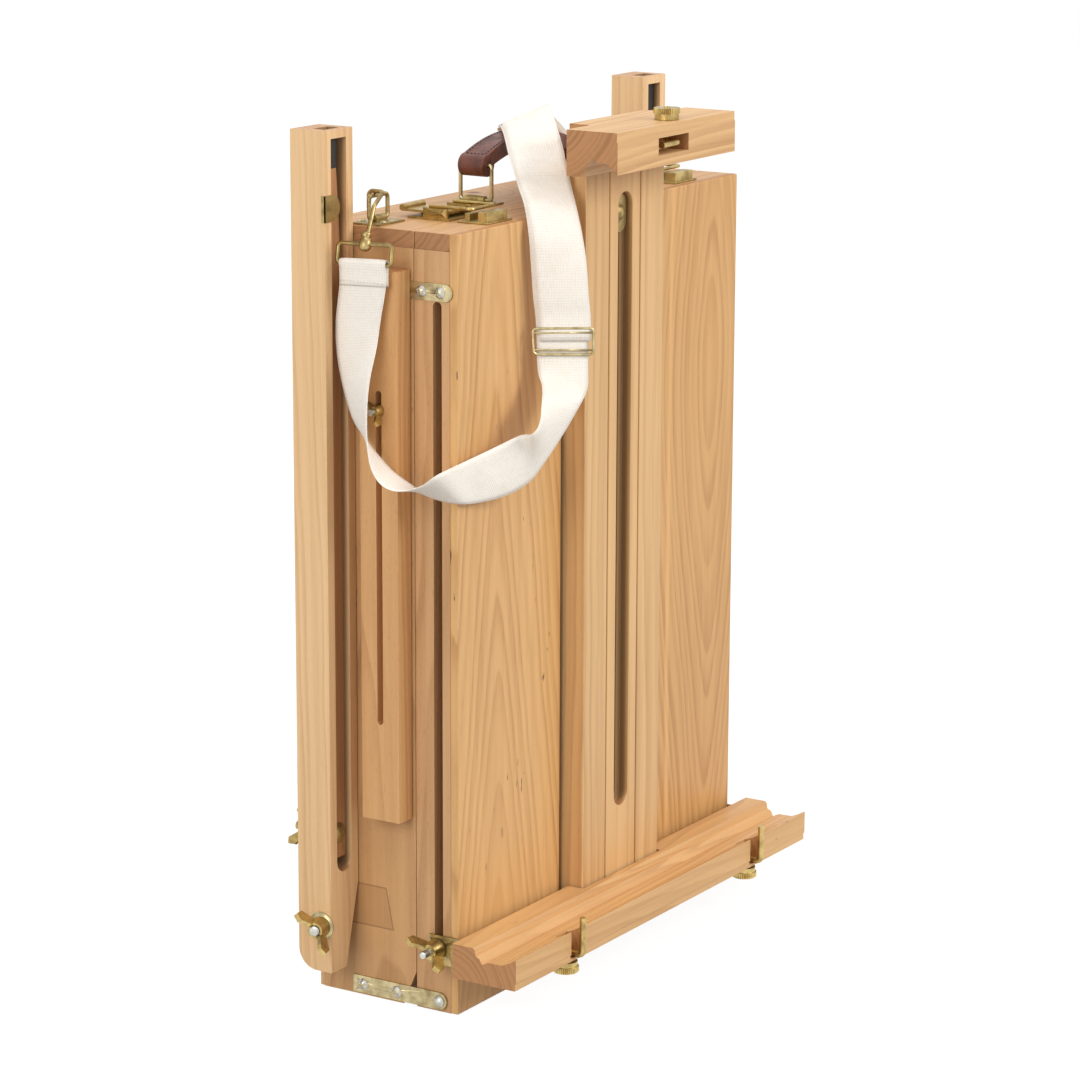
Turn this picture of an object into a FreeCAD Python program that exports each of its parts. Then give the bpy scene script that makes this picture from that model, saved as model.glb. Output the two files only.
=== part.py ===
import FreeCAD, Part
import math
import os

from FreeCAD import Placement, Rotation, Vector
import Sketcher

# A box easel, closed and standing on its hinge end, in millimetres.
# X runs across the lid, the lid faces -Y, Z is up, and the origin is at the middle of the standing face.

# Driving sizes: alias and value
SIZES = [
    ("case_width", 380.0),
    ("case_height", 550.0),
    ("case_depth", 83.0),
    ("lid_depth", 35.0),
    ("side_wall", 12.0),
    ("end_wall", 12.0),
    ("floor_panel", 4.0),
    ("lid_panel", 6.0),
    ("seam_gap", 0.4),
    ("lid_side_gap", 0.3),
    ("running_gap", 0.3),
    ("hinge_rise", 8.0),
    ("hinge_setback", 20.0),
    ("relief_rise", 25.5),
    ("relief_run", 11.0),
    # drawer
    ("drawer_gap", 0.5),
    ("drawer_side", 10.0),
    ("drawer_panel", 4.0),
    ("drawer_back", 10.0),
    ("drawer_foot", 8.0),
    ("drawer_drop", 9.0),
    ("runner_width", 10.0),
    ("runner_proud", 4.4),
    ("runner_place", 48.0),
    ("divider_wall", 5.0),
    ("divider_drop", 5.0),
    ("divider_spread", 110.0),
    ("palette_wall", 4.5),
    ("palette_thumb", 30.0),
    ("palette_thumb_inset", 82.5),
    ("palette_thumb_rise", 85.0),
    # mast and its rails
    ("rail_width", 31.5),
    ("rail_proud", 17.0),
    ("rail_back", 30.0),
    ("rail_flange", 13.0),
    ("rail_top_rise", 26.0),
    ("rail_side_gap", 3.5),
    ("mast_width", 40.8),
    ("mast_gap", 1.2),
    ("mast_wall", 18.0),
    ("mast_groove", 19.0),
    ("mast_groove_deep", 7.6),
    ("mast_slot", 8.6),
    ("mast_bolt", 8.0),
    ("mast_bolt_drop", 6.0),
    ("mast_groove_foot", 108.0),
    ("mast_groove_headroom", 20.0),
    ("mast_foot", 16.0),
    ("mast_block_rise", 60.0),
    # top clamp
    ("clamp_width", 162.0),
    ("clamp_depth", 41.0),
    ("clamp_rise", 32.0),
    ("clamp_gap", 3.0),
    ("clamp_tongue", 100.0),
    ("clamp_tongue_deep", 17.0),
    ("hook_wire", 4.6),
    ("knurl_nut", 17.0),
    ("knurl_nut_rise", 8.0),
    # tray
    ("tray_overhang", 17.0),
    ("tray_depth", 52.5),
    ("tray_rise", 25.0),
    ("tray_foot", 34.0),
    ("tray_gap", 6.5),
    ("tray_hook_place", 128.0),
    ("tray_hook_lift", 2.0),
    ("tray_notch_gap", 2.0),
    ("side_slot", 7.0),
    ("side_slot_place", 16.0),
    ("side_slot_foot", 43.0),
    ("side_slot_headroom", 38.0),
    ("tray_bolt", 6.0),
    ("tray_bolt_rise", 47.0),
    ("bracket_wall", 1.6),
    ("bracket_rise", 21.0),
    # stays
    ("stay_width", 31.0),
    ("stay_wall", 15.6),
    ("stay_drop", 26.0),
    ("stay_foot", 138.0),
    ("stay_front", 2.0),
    ("stay_slot", 4.8),
    ("stay_slot_foot", 207.0),
    ("stay_slot_headroom", 82.5),
    ("stay_bolt", 4.4),
    ("stay_bolt_drop", 13.5),
    ("stay_pivot_drop", 14.0),
    ("stay_eye_rise", 152.0),
    ("slat_width", 18.0),
    ("slat_wall", 7.0),
    ("stay_plate", 1.2),
    # legs
    ("leg_width", 33.0),
    ("leg_depth", 28.0),
    ("leg_head_rise", 67.0),
    ("leg_foot", 25.0),
    ("leg_gap", 1.2),
    ("leg_setback", 6.5),
    ("leg_pivot_rise", 59.0),
    ("leg_pivot_place", 17.0),
    ("leg_splay", 12.0),
    ("leg_channel", 17.5),
    ("leg_channel_deep", 15.0),
    ("leg_channel_foot", 96.0),
    ("leg_bridge", 6.0),
    ("leg_bridge_wall", 5.0),
    ("leg_bevel_rise", 60.0),
    ("leg_bevel", 15.0),
    ("leg_round", 15.0),
    ("leg_bolt", 6.0),
    ("leg_bolt_rise", 123.0),
    ("leg_slot_headroom", 57.0),
    ("pivot_bolt", 8.0),
    ("tip_rise", 23.0),
    ("rear_leg_drop", 20.0),
    ("rear_slot_headroom", 60.0),
    ("rear_leg_width", 30.0),
    ("rear_leg_depth", 27.0),
    ("rear_leg_gap", 1.6),
    ("rear_cheek", 4.0),
    ("rear_bracket_rise", 38.0),
    # handle, latches and strap fittings
    ("handle_spread", 114.0),
    ("handle_place", 37.0),
    ("handle_ring_width", 26.0),
    ("handle_ring_rise", 24.5),
    ("handle_wire", 3.0),
    ("handle_loop", 16.0),
    ("handle_arch", 11.0),
    ("handle_wall", 11.0),
    ("fitting_plate", 1.5),
    ("latch_place", 126.0),
    ("latch_width", 31.0),
    ("latch_wire", 2.5),
    ("latch_pin", 2.0),
    ("strap_eye_place", 172.0),
    ("strap_eye_setback", 41.0),
    ("strap_ring_width", 22.0),
    ("strap_ring_rise", 16.0),
    ("strap_wire", 3.0),
    ("webbing", 2.0),
    ("screw_head", 7.4),
    ("screw_shank", 3.6),
    ("hinge_strap_wall", 1.6),
    ("hinge_strap_rise", 12.6),
]

DOC = FreeCAD.newDocument("box_easel")
SHEET = DOC.addObject("Spreadsheet::Sheet", "Size")


class Length:
    """A size: its value now, and the sheet expression that gives it."""

    def __init__(self, value, text):
        self.value = value
        self.text = text

    def __add__(self, other):
        other = length(other)
        return Length(self.value + other.value, f"({self.text} + {other.text})")

    def __sub__(self, other):
        other = length(other)
        return Length(self.value - other.value, f"({self.text} - {other.text})")

    def __mul__(self, other):
        other = length(other)
        return Length(self.value * other.value, f"({self.text} * {other.text})")

    def __truediv__(self, other):
        other = length(other)
        return Length(self.value / other.value, f"({self.text} / {other.text})")

    def __neg__(self):
        return Length(-self.value, f"(0 - {self.text})")

    __radd__ = __add__

    def __rsub__(self, other):
        return length(other) - self

    def __rmul__(self, other):
        return self * other


def length(number):
    """A Length as it is, or a plain number made into one."""
    if isinstance(number, Length):
        return number
    return Length(float(number), repr(float(number)))


class Sizes:
    """The sheet's sizes by name."""


S = Sizes()
for row, (alias, value) in enumerate(SIZES, 1):
    SHEET.set(f"A{row}", alias)
    SHEET.set(f"B{row}", repr(value))
    SHEET.setAlias(f"B{row}", alias)
DOC.recompute()
for alias, _ in SIZES:
    setattr(S, alias, Length(float(SHEET.get(alias)), f"Size.{alias}"))


# Tools for building pieces

def bind(thing, **fields):
    """Tie properties of an object to the sheet; a double underscore stands for a point."""
    for name, size in fields.items():
        thing.setExpression(name.replace("__", "."), length(size).text)


def put(thing, x, y, z):
    """Tie an object's place to the sheet."""
    bind(thing, Placement__Base__x=x, Placement__Base__y=y, Placement__Base__z=z)
    return thing


def box(name, x0, x1, y0, y1, z0, z1):
    """A square-edged block between two corners."""
    block = DOC.addObject("Part::Box", name)
    bind(block, Length=length(x1) - x0, Width=length(y1) - y0, Height=length(z1) - z0)
    return put(block, x0, y0, z0)


AXES = {"x": Vector(1, 0, 0), "y": Vector(0, 1, 0), "z": Vector(0, 0, 1)}


def rod(name, axis, x, y, z, radius, run):
    """A round bar that starts at a point and runs along an axis."""
    direction = AXES.get(axis, axis)
    bar = DOC.addObject("Part::Cylinder", name)
    bar.Placement = Placement(Vector(0, 0, 0), Rotation(Vector(0, 0, 1), direction))
    bind(bar, Radius=radius, Height=run)
    return put(bar, x, y, z)


def fused(name, pieces):
    """Pieces made into one solid."""
    whole = DOC.addObject("Part::MultiFuse", name)
    whole.Shapes = pieces
    whole.Refine = True
    return whole


def group(name, pieces):
    """Separate solids kept under one name."""
    lot = DOC.addObject("Part::Compound", name)
    lot.Links = pieces
    return lot


def cut(name, base, tools):
    """A piece with others taken out of it."""
    result = DOC.addObject("Part::Cut", name)
    result.Base = base
    result.Tool = tools[0] if len(tools) == 1 else group(name + "_tools", tools)
    return result


def mirrored(name, source):
    """The same piece on the other side of the middle."""
    twin = DOC.addObject("Part::Mirroring", name)
    twin.Source = source
    twin.Base = Vector(0, 0, 0)
    twin.Normal = Vector(1, 0, 0)
    return twin


def both_sides(name, source):
    """A piece and its mirror image as one group."""
    return group(name, [source, mirrored(name + "_twin", source)])


PLANES = {"XY": "XY_Plane", "XZ": "XZ_Plane", "YZ": "YZ_Plane"}


def profile(name, plane, points, run, start=0.0):
    """A sketched outline padded square to its plane; each corner is tied to the sheet."""
    body = DOC.addObject("PartDesign::Body", name)
    sketch = body.newObject("Sketcher::SketchObject", name + "_outline")
    for origin_plane in body.Origin.OriginFeatures:
        if origin_plane.Role == PLANES[plane]:
            sketch.AttachmentSupport = [(origin_plane, "")]
    sketch.MapMode = "FlatFace"
    corners = [(length(a), length(b)) for a, b in points]
    for index, (a, b) in enumerate(corners):
        c, d = corners[(index + 1) % len(corners)]
        line = Part.LineSegment(Vector(a.value, b.value, 0), Vector(c.value, d.value, 0))
        sketch.addGeometry(line, False)
    for index in range(len(corners)):
        following = (index + 1) % len(corners)
        sketch.addConstraint(Sketcher.Constraint("Coincident", index, 2, following, 1))
    for index, (a, b) in enumerate(corners):
        for kind, size in (("DistanceX", a), ("DistanceY", b)):
            number = sketch.addConstraint(Sketcher.Constraint(kind, -1, 1, index, 1, size.value))
            sketch.setExpression(f"Constraints[{number}]", size.text)
    pad = body.newObject("PartDesign::Pad", name + "_pad")
    pad.Profile = sketch
    bind(pad, Length=run)
    if plane == "XZ":
        pad.Reversed = True
        return put(body, 0.0, start, 0.0)
    if plane == "YZ":
        return put(body, start, 0.0, 0.0)
    return put(body, 0.0, 0.0, start)


def slot(name, axis, x, y, z, width, run, depth):
    """A round-ended slot along Z from its lower centre, cut through along X or Y."""
    half = width / 2
    if axis == "x":
        middle = box(name + "_middle", x, x + depth, y - half, y + half, z, z + run)
    else:
        middle = box(name + "_middle", x - half, x + half, y, y + depth, z, z + run)
    ends = [rod(f"{name}_end_{i}", axis, x, y, z + run * i, half, depth) for i in (0, 1)]
    return fused(name, [middle] + ends)


def shaped(name, shape):
    """A piece whose form comes from curves."""
    piece = DOC.addObject("Part::Feature", name)
    piece.Shape = shape.Solids[0] if len(shape.Solids) == 1 else shape
    return piece


def number(size):
    return length(size).value


def point(x, y, z):
    return Vector(number(x), number(y), number(z))


def wire_rod(points, radius, bend, closed=False):
    """A bent wire: straight runs joined by arcs, as one solid."""
    count = len(points)
    starts = []
    ends = []
    arcs = []
    for index, corner in enumerate(points):
        if not closed and index in (0, count - 1):
            starts.append(corner)
            ends.append(corner)
            arcs.append(None)
            continue
        before = (points[index - 1] - corner).normalize()
        after = (points[(index + 1) % count] - corner).normalize()
        turn = math.pi - before.getAngle(after)
        reach = bend * math.tan(turn / 2)
        entry = corner + before * reach
        leave = corner + after * reach
        inward = (before + after).normalize()
        centre = corner + inward * (bend / math.cos(turn / 2))
        middle = centre - inward * bend
        starts.append(entry)
        ends.append(leave)
        arcs.append(Part.Arc(entry, middle, leave).toShape())
    edges = []
    last = count if closed else count - 1
    for index in range(last):
        if arcs[index] is not None:
            edges.append(arcs[index])
        following = (index + 1) % count
        edges.append(Part.makeLine(ends[index], starts[following]))
    path = Part.Wire(Part.__sortEdges__(edges))
    if closed:
        start = (ends[0] + starts[1]) * 0.5
        first = Part.makeLine(start, starts[1])
        rest = Part.makeLine(ends[0], start)
        loop = [first] + edges[2:] + [edges[0], rest]
        halves = len(loop) // 2
        pieces = [loop[:halves], loop[halves:]]
        solids = [swept(piece, radius) for piece in pieces]
        return solids[0].fuse(solids[1]).removeSplitter()
    return swept(path.Edges, radius)


def swept(edges, radius):
    """A round section swept along joined edges."""
    path = Part.Wire(edges)
    start = path.Edges[0]
    at = start.valueAt(start.FirstParameter)
    way = start.tangentAt(start.FirstParameter)
    section = Part.Wire([Part.makeCircle(radius, at, way)])
    return path.makePipeShell([section], True, False)


def wing_nut(name, centre, outward, across, bolt, size=1.0):
    """A wing nut on a bolt, against a face: a tapered hub and two wings that lean outwards."""
    side = outward.cross(across).normalize()
    hub_base, hub_top, hub_rise = 5.6 * size, 4.2 * size, 7.0 * size
    hub = Part.makeCone(hub_base, hub_top, hub_rise, centre, outward)
    thick = 2.6 * size
    outline = [(3.0, 0.6), (8.0, 4.2), (12.5, 8.0), (12.8, 13.0), (9.0, 14.0), (5.0, 8.8), (2.5, 6.6)]
    shape = hub
    for way in (1, -1):
        corners = [centre + across * (way * a * size) + outward * (b * size) - side * (thick / 2)
                   for a, b in outline]
        face = Part.Face(Part.makePolygon(corners + corners[:1]))
        shape = shape.fuse(face.extrude(side * thick))
    bore = Part.makeCylinder(number(bolt) / 2 + 0.1, 30, centre - outward * 5, outward)
    return shaped(name, shape.cut(bore).removeSplitter())


def dome(centre, outward, radius, rise):
    """A low round screw head."""
    across = outward.cross(Vector(0.3, 0.5, 0.8)).normalize()
    rim = centre + across * radius
    crown = centre + outward * rise
    sphere = (radius * radius + rise * rise) / (2 * rise)
    lean = math.asin(radius / sphere) / 2
    shoulder = centre - outward * (sphere - rise) + (outward * math.cos(lean) + across * math.sin(lean)) * sphere
    curve = Part.Arc(rim, shoulder, crown).toShape()
    outline = Part.Wire([Part.makeLine(centre, rim), curve, Part.makeLine(crown, centre)])
    return Part.Face(outline).revolve(centre, outward, 360)


def screw(centre, outward, head, shank, depth):
    """A wood screw: a domed head on a face and a shank that runs in."""
    top = dome(centre, outward, head / 2, head * 0.3)
    stem = Part.makeCylinder(shank / 2, depth, centre, -outward)
    return top.fuse(stem).removeSplitter()


# Places that several pieces share

HALF = S.case_width / 2
FRONT = -((S.case_depth + S.lid_depth) / 2)
SEAM = FRONT + S.lid_depth
BACK = SEAM + S.case_depth
TOP = S.case_height
BOARD_TOP = TOP - S.end_wall
INSIDE = HALF - S.side_wall
FLOOR = BACK - S.floor_panel
LID_BACK = SEAM - S.seam_gap
LID_HALF = HALF - S.lid_side_gap
LID_INSIDE = LID_HALF - S.side_wall
PANEL_BACK = FRONT + S.lid_panel
HINGE_Y = SEAM - S.hinge_setback
RAIL_FRONT = FRONT - S.rail_proud
RAIL_BACK = RAIL_FRONT + S.rail_back
RAIL_INNER = S.mast_width / 2 + S.mast_gap
RAIL_OUTER = RAIL_INNER + S.rail_width
FLANGE = RAIL_OUTER + S.rail_flange
PANEL_INNER = RAIL_OUTER + S.rail_side_gap
RAIL_TOP = TOP + S.rail_top_rise
MAST_BACK = RAIL_FRONT + S.mast_wall
MAST_TOP = RAIL_TOP + S.clamp_gap
MAST_BOLT_Z = TOP - S.mast_bolt_drop
SIDE_SLOT_TOP = BOARD_TOP - S.side_slot_headroom
STAY_TOP = TOP - S.stay_drop
STAY_PIVOT_Z = STAY_TOP - S.stay_pivot_drop
SIDE_OUT = -HALF
UP = Vector(0, 0, 1)
LEFT = Vector(-1, 0, 0)
FORWARD = Vector(0, -1, 0)
NODES = []


def node(piece, label):
    """Name a finished sub-part."""
    piece.Label = label
    NODES.append(piece)
    return piece


# The case: two sides, the hinge-end board, the floor and the drawer's runners

def case_parts():
    relief = profile("relief", "YZ",
                     [(SEAM - 1, S.relief_rise + S.relief_rise / S.relief_run), (SEAM + S.relief_run, 0),
                      (SEAM + S.relief_run, -1), (SEAM - 1, -1)],
                     S.case_width + 2, -HALF - 1)
    screws = hinge_screws("case", [SEAM + S.hinge_setback * 2.25, SEAM + S.hinge_setback * 0.8])
    pin = leg_pin("case_pin_bore", S.pivot_bolt / 2)
    board = box("side_board", -HALF, -INSIDE, SEAM, FLOOR, 0, BOARD_TOP)
    left = cut("case_side_left", board, [relief, screws, pin])
    node(left, "case_side_left")
    node(mirrored("case_side_right", left), "case_side_right")
    rear = box("rear_board", -INSIDE, INSIDE, SEAM, FLOOR, 0, S.end_wall)
    node(cut("case_rear_board", rear, [relief]), "case_rear_board")
    node(box("underside_panel", -HALF, HALF, FLOOR, BACK, 0, BOARD_TOP), "underside_panel")
    runner_y = SEAM + S.runner_place
    runner = box("runner", -INSIDE, -INSIDE + S.runner_proud,
                 runner_y - S.runner_width / 2, runner_y + S.runner_width / 2,
                 S.end_wall, BOARD_TOP - S.end_wall)
    node(both_sides("drawer_runners", runner), "drawer_runners")
    hinge_parts(screws)


def hinge_screws(name, places):
    """Screws that hold a hinge strap to the left side."""
    face = -HALF - S.hinge_strap_wall
    heads = [screw(point(face, y, S.hinge_rise), LEFT, S.screw_head.value, S.screw_shank.value,
                   S.side_wall.value * 0.8 + S.hinge_strap_wall.value) for y in places]
    return shaped(name + "_screw_pair", Part.makeCompound(heads))


def hinge_parts(screws):
    """Brass straps that carry the lid; its pivot screws turn in their front holes."""
    back_end = SEAM + S.hinge_setback * 2.65
    front_end = HINGE_Y
    half = S.hinge_strap_rise / 2
    outer = -HALF - S.hinge_strap_wall
    flat = box("strap_flat", outer, -HALF, front_end, back_end, S.hinge_rise - half, S.hinge_rise + half)
    nose = rod("strap_nose", "x", outer, front_end, S.hinge_rise, half, S.hinge_strap_wall)
    holes = [rod(f"strap_hole_{i}", "x", outer - 1, y, S.hinge_rise, radius, S.hinge_strap_wall + 2)
             for i, (y, radius) in enumerate([
                 (SEAM + S.hinge_setback * 2.25, S.screw_shank / 2),
                 (SEAM + S.hinge_setback * 0.8, S.screw_shank / 2),
                 (HINGE_Y, S.screw_shank / 2 + 0.08)])]
    strap = cut("hinge_strap", fused("strap_blank", [flat, nose]), holes)
    node(both_sides("hinge_straps", group("hinge_strap_set", [strap, screws])), "hinge_straps")


# Leg pivots: the pins lean by the splay, so that the legs spread as they swing down

LEG_PIVOT_Y = BACK - S.leg_pivot_place
SPLAY = math.radians(S.leg_splay.value)
LEG_AXIS = Vector(-math.cos(SPLAY), -math.sin(SPLAY), 0)


def leg_pin(name, radius, inside=0.0):
    """The left leg's pivot pin, from inside the wall to past the leg."""
    start = point(-INSIDE - 2, LEG_PIVOT_Y, S.leg_pivot_rise)
    run = number(S.side_wall + S.leg_width + S.leg_gap) + 7.0
    at = start + LEG_AXIS * inside
    return shaped(name, Part.makeCylinder(number(radius), run - inside, at, LEG_AXIS))


def pivot_parts():
    pin = leg_pin("leg_pin", S.pivot_bolt / 2)
    plate = box("stay_pivot_plate", -HALF - S.stay_plate, -HALF,
                STAY_Y - 9, STAY_Y + 9, S.stay_eye_rise - 9, S.stay_eye_rise + 9)
    node(both_sides("side_pivots", group("side_pivot_set", [pin, plate])), "side_pivots")
    cheek_in = S.rear_leg_width / 2 + 0.5
    cheek_out = cheek_in + S.rear_cheek
    pivot_y = BACK + S.rear_leg_gap + S.rear_leg_depth / 2
    low = S.leg_pivot_rise - S.rear_bracket_rise / 2
    cheek = box("rear_cheek", -cheek_out, -cheek_in, BACK, pivot_y + 7, low, low + S.rear_bracket_rise)
    foot = box("rear_cheek_foot", -cheek_out - 14, -cheek_out, BACK, BACK + 3, low,
               low + S.rear_bracket_rise)
    half = fused("rear_cheek_half", [cheek, foot])
    pin = rod("rear_pin", "x", -cheek_out - 4, pivot_y, S.leg_pivot_rise, 3.0, (cheek_out + 4) * 2)
    bracket = group("rear_bracket_halves", [half, mirrored("rear_cheek_twin", half)])
    cheeks = cut("rear_bracket_cut", bracket, [pin])
    node(group("rear_leg_bracket", [cheeks, pin]), "rear_leg_bracket")


# The drawer: its front is the case's top board

DRAWER_HALF = INSIDE - S.drawer_gap
DRAWER_LOW = S.end_wall + S.drawer_foot
DRAWER_TOP = SEAM + S.drawer_drop
DRAWER_FLOOR = FLOOR - S.drawer_gap


def drawer_parts():
    node(box("drawer_front", -HALF, HALF, SEAM, BACK, BOARD_TOP, TOP), "drawer_front")
    inner = DRAWER_HALF - S.drawer_side
    blank = box("drawer_side_blank", -DRAWER_HALF, -inner, DRAWER_TOP, DRAWER_FLOOR, DRAWER_LOW, BOARD_TOP)
    runner_y = SEAM + S.runner_place
    half = S.runner_width / 2 + S.drawer_gap
    groove = box("drawer_groove", -DRAWER_HALF - 1, -INSIDE + S.runner_proud + S.drawer_gap,
                 runner_y - half, runner_y + half, DRAWER_LOW - 1, BOARD_TOP - S.end_wall + 1)
    side = cut("drawer_side_cut", blank, [groove])
    floor_top = DRAWER_FLOOR - S.drawer_panel
    back = box("drawer_back", -inner, inner, DRAWER_TOP, floor_top, DRAWER_LOW, DRAWER_LOW + S.drawer_back)
    node(group("drawer_walls", [side, mirrored("drawer_side_twin", side), back]), "drawer_walls")
    node(box("drawer_bottom", -inner, inner, floor_top, DRAWER_FLOOR, DRAWER_LOW, BOARD_TOP),
         "drawer_bottom")
    low = DRAWER_LOW + S.drawer_back
    top = DRAWER_TOP + S.divider_drop
    place = S.divider_spread / 2
    long_wall = box("long_divider", -place - S.divider_wall, -place, top, floor_top, low, BOARD_TOP)
    span = BOARD_TOP - low
    cross = [box(f"cross_divider_{i}", -inner, -place - S.divider_wall, top, floor_top,
                 low + span * share, low + span * share + S.divider_wall)
             for i, share in enumerate((1 / 3, 2 / 3))]
    walls = [long_wall] + cross
    twins = [mirrored(f"divider_twin_{i}", wall) for i, wall in enumerate(walls)]
    node(group("drawer_dividers", walls + twins), "drawer_dividers")
    palette_back = DRAWER_TOP
    palette_front = palette_back - S.palette_wall
    board = box("palette_board", -DRAWER_HALF + 2, DRAWER_HALF - 2, palette_front, palette_back,
                DRAWER_LOW + 2, BOARD_TOP - 4)
    thumb_x = DRAWER_HALF - S.palette_thumb_inset
    thumb = rod("palette_thumb_hole", "y", thumb_x, palette_front - 1, DRAWER_LOW + S.palette_thumb_rise,
                S.palette_thumb / 2, S.palette_wall + 2)
    notch = rod("palette_notch", "y", thumb_x + S.palette_thumb * 0.8, palette_front - 1, DRAWER_LOW + 2,
                S.palette_thumb, S.palette_wall + 2)
    node(cut("palette", board, [thumb, notch]), "palette")


# Fittings on the top: latches, handle and strap eyes

HANDLE_Y = SEAM + S.handle_place
HANDLE_X = S.handle_spread / 2
PLATE_TOP = TOP + S.fitting_plate
RING_FOOT = PLATE_TOP + S.handle_wire / 2 + S.running_gap
RING_TOP = RING_FOOT + S.handle_ring_rise
RING_BEND = 2.2
LEVER_Y = SEAM + 11.0
LEVER_Z = PLATE_TOP + 3.6


def latch_parts():
    left = -S.latch_place - S.latch_width / 2
    right = -S.latch_place + S.latch_width / 2
    wall = S.fitting_plate
    plate = box("latch_plate", left, right, SEAM + 3, SEAM + 38, TOP, PLATE_TOP)
    loop_low = LEVER_Z + 3.4
    cheeks = [box("latch_cheek_a", left, left + wall, SEAM + 5, SEAM + 25, PLATE_TOP, loop_low),
              box("latch_cheek_b", right - wall, right, SEAM + 5, SEAM + 25, PLATE_TOP, loop_low)]
    pin = rod("latch_pin", "x", left, LEVER_Y, LEVER_Z, S.latch_pin / 2, S.latch_width)
    base = cut("latch_base", fused("latch_base_blank", [plate] + cheeks), [pin])
    radius = S.latch_wire / 2
    wire_z = loop_low + radius
    corners = [point(left + wall / 2, SEAM + 20, wire_z), point(left + wall / 2, SEAM - 14, wire_z),
               point(right - wall / 2, SEAM - 14, wire_z), point(right - wall / 2, SEAM + 20, wire_z)]
    loop = shaped("latch_loop", wire_rod(corners, radius.value, 3.0))
    node(both_sides("latch_bases", group("latch_base_set", [base, pin, loop])), "latch_bases")
    inner_l = left + wall + 0.9
    inner_r = right - wall - 0.9
    width = inner_r - inner_l
    barrel = rod("lever_barrel", "x", inner_l, LEVER_Y, LEVER_Z, 2.3, width)
    tongue = box("lever_tongue", inner_l, inner_r, LEVER_Y, SEAM + 44, LEVER_Z - 0.8, LEVER_Z + 0.8)
    curl = rod("lever_curl", "x", inner_l, SEAM + 44, LEVER_Z + 1.4, 2.2, width)
    bore = rod("lever_bore", "x", inner_l - 1, LEVER_Y, LEVER_Z, S.latch_pin / 2 + 0.08, width + 2)
    lever = cut("latch_lever_left", fused("lever_blank", [barrel, tongue, curl]), [bore])
    node(lever, "latch_lever_left")
    node(mirrored("latch_lever_right", lever), "latch_lever_right")
    strike_plate = box("strike_plate", left, right, SEAM - 28, SEAM - 3, TOP, PLATE_TOP)
    hook = box("strike_hook", left + 5, right - 5, SEAM - 10, SEAM - 6, PLATE_TOP, PLATE_TOP + 4.5)
    lip = box("strike_lip", left + 3, right - 3, SEAM - 26, SEAM - 18, PLATE_TOP, PLATE_TOP + 6.5)
    node(both_sides("latch_strikes", fused("latch_strike", [strike_plate, hook, lip])), "latch_strikes")


def handle_parts():
    half = S.handle_ring_width / 2
    plate = box("handle_plate", -HANDLE_X - 10, -HANDLE_X + 10, HANDLE_Y - half - 4, HANDLE_Y + half + 4,
                TOP, PLATE_TOP)
    wire = S.handle_wire / 2
    ear_out = wire + 1.6
    post = box("handle_ear_foot", -HANDLE_X - ear_out, -HANDLE_X + ear_out, HANDLE_Y - half + 5,
               HANDLE_Y + half - 5, PLATE_TOP, RING_FOOT)
    ear = rod("handle_ear", "y", -HANDLE_X, HANDLE_Y - half + 5, RING_FOOT, ear_out,
              S.handle_ring_width - 10)
    bore = rod("handle_ear_bore", "y", -HANDLE_X, HANDLE_Y - half, RING_FOOT, wire + 0.1,
               S.handle_ring_width)
    seat = cut("handle_seat", fused("handle_seat_blank", [plate, post, ear]), [bore])
    node(both_sides("handle_plates", seat), "handle_plates")
    corners = [point(-HANDLE_X, HANDLE_Y - half, RING_FOOT), point(-HANDLE_X, HANDLE_Y + half, RING_FOOT),
               point(-HANDLE_X, HANDLE_Y + half, RING_TOP), point(-HANDLE_X, HANDLE_Y - half, RING_TOP)]
    ring = shaped("handle_ring_left", wire_rod(corners, wire.value, RING_BEND, closed=True))
    node(ring, "handle_ring_left")
    node(mirrored("handle_ring_right", ring), "handle_ring_right")
    node(handle_grip(), "handle_grip")


def handle_grip():
    """A leather grip: a low arch with a loop round each ring's top bar."""
    loop = number(S.handle_loop) / 2
    spread = number(HANDLE_X)
    low = number(RING_TOP)
    wall = number(S.handle_wall)
    crown = low + loop + number(S.handle_arch)
    width = number(S.handle_ring_width) - 2 * RING_BEND - 0.4
    y0 = number(HANDLE_Y) - width / 2
    outer = Part.Arc(Vector(-spread, y0, low + loop), Vector(0, y0, crown), Vector(spread, y0, low + loop))
    inner_edge = low + loop - wall
    inner = Part.Arc(Vector(spread, y0, inner_edge), Vector(0, y0, crown - wall), Vector(-spread, y0, inner_edge))
    sides = [Part.makeLine(Vector(spread, y0, low + loop), Vector(spread, y0, inner_edge)),
             Part.makeLine(Vector(-spread, y0, inner_edge), Vector(-spread, y0, low + loop))]
    face = Part.Face(Part.Wire([outer.toShape(), sides[0], inner.toShape(), sides[1]]))
    body = face.extrude(Vector(0, width, 0))
    for side in (-1, 1):
        ring = Part.makeCylinder(loop, width, Vector(side * spread, y0, low), Vector(0, 1, 0))
        body = body.fuse(ring)
    bore = number(S.handle_wire) / 2 + 0.1
    for side in (-1, 1):
        body = body.cut(Part.makeCylinder(bore, width + 2, Vector(side * spread, y0 - 1, low), Vector(0, 1, 0)))
    return shaped("handle_grip", body.removeSplitter())


STRAP_EYE_Y = SEAM + S.strap_eye_setback
STRAP_EYE_X = S.strap_eye_place


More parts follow.
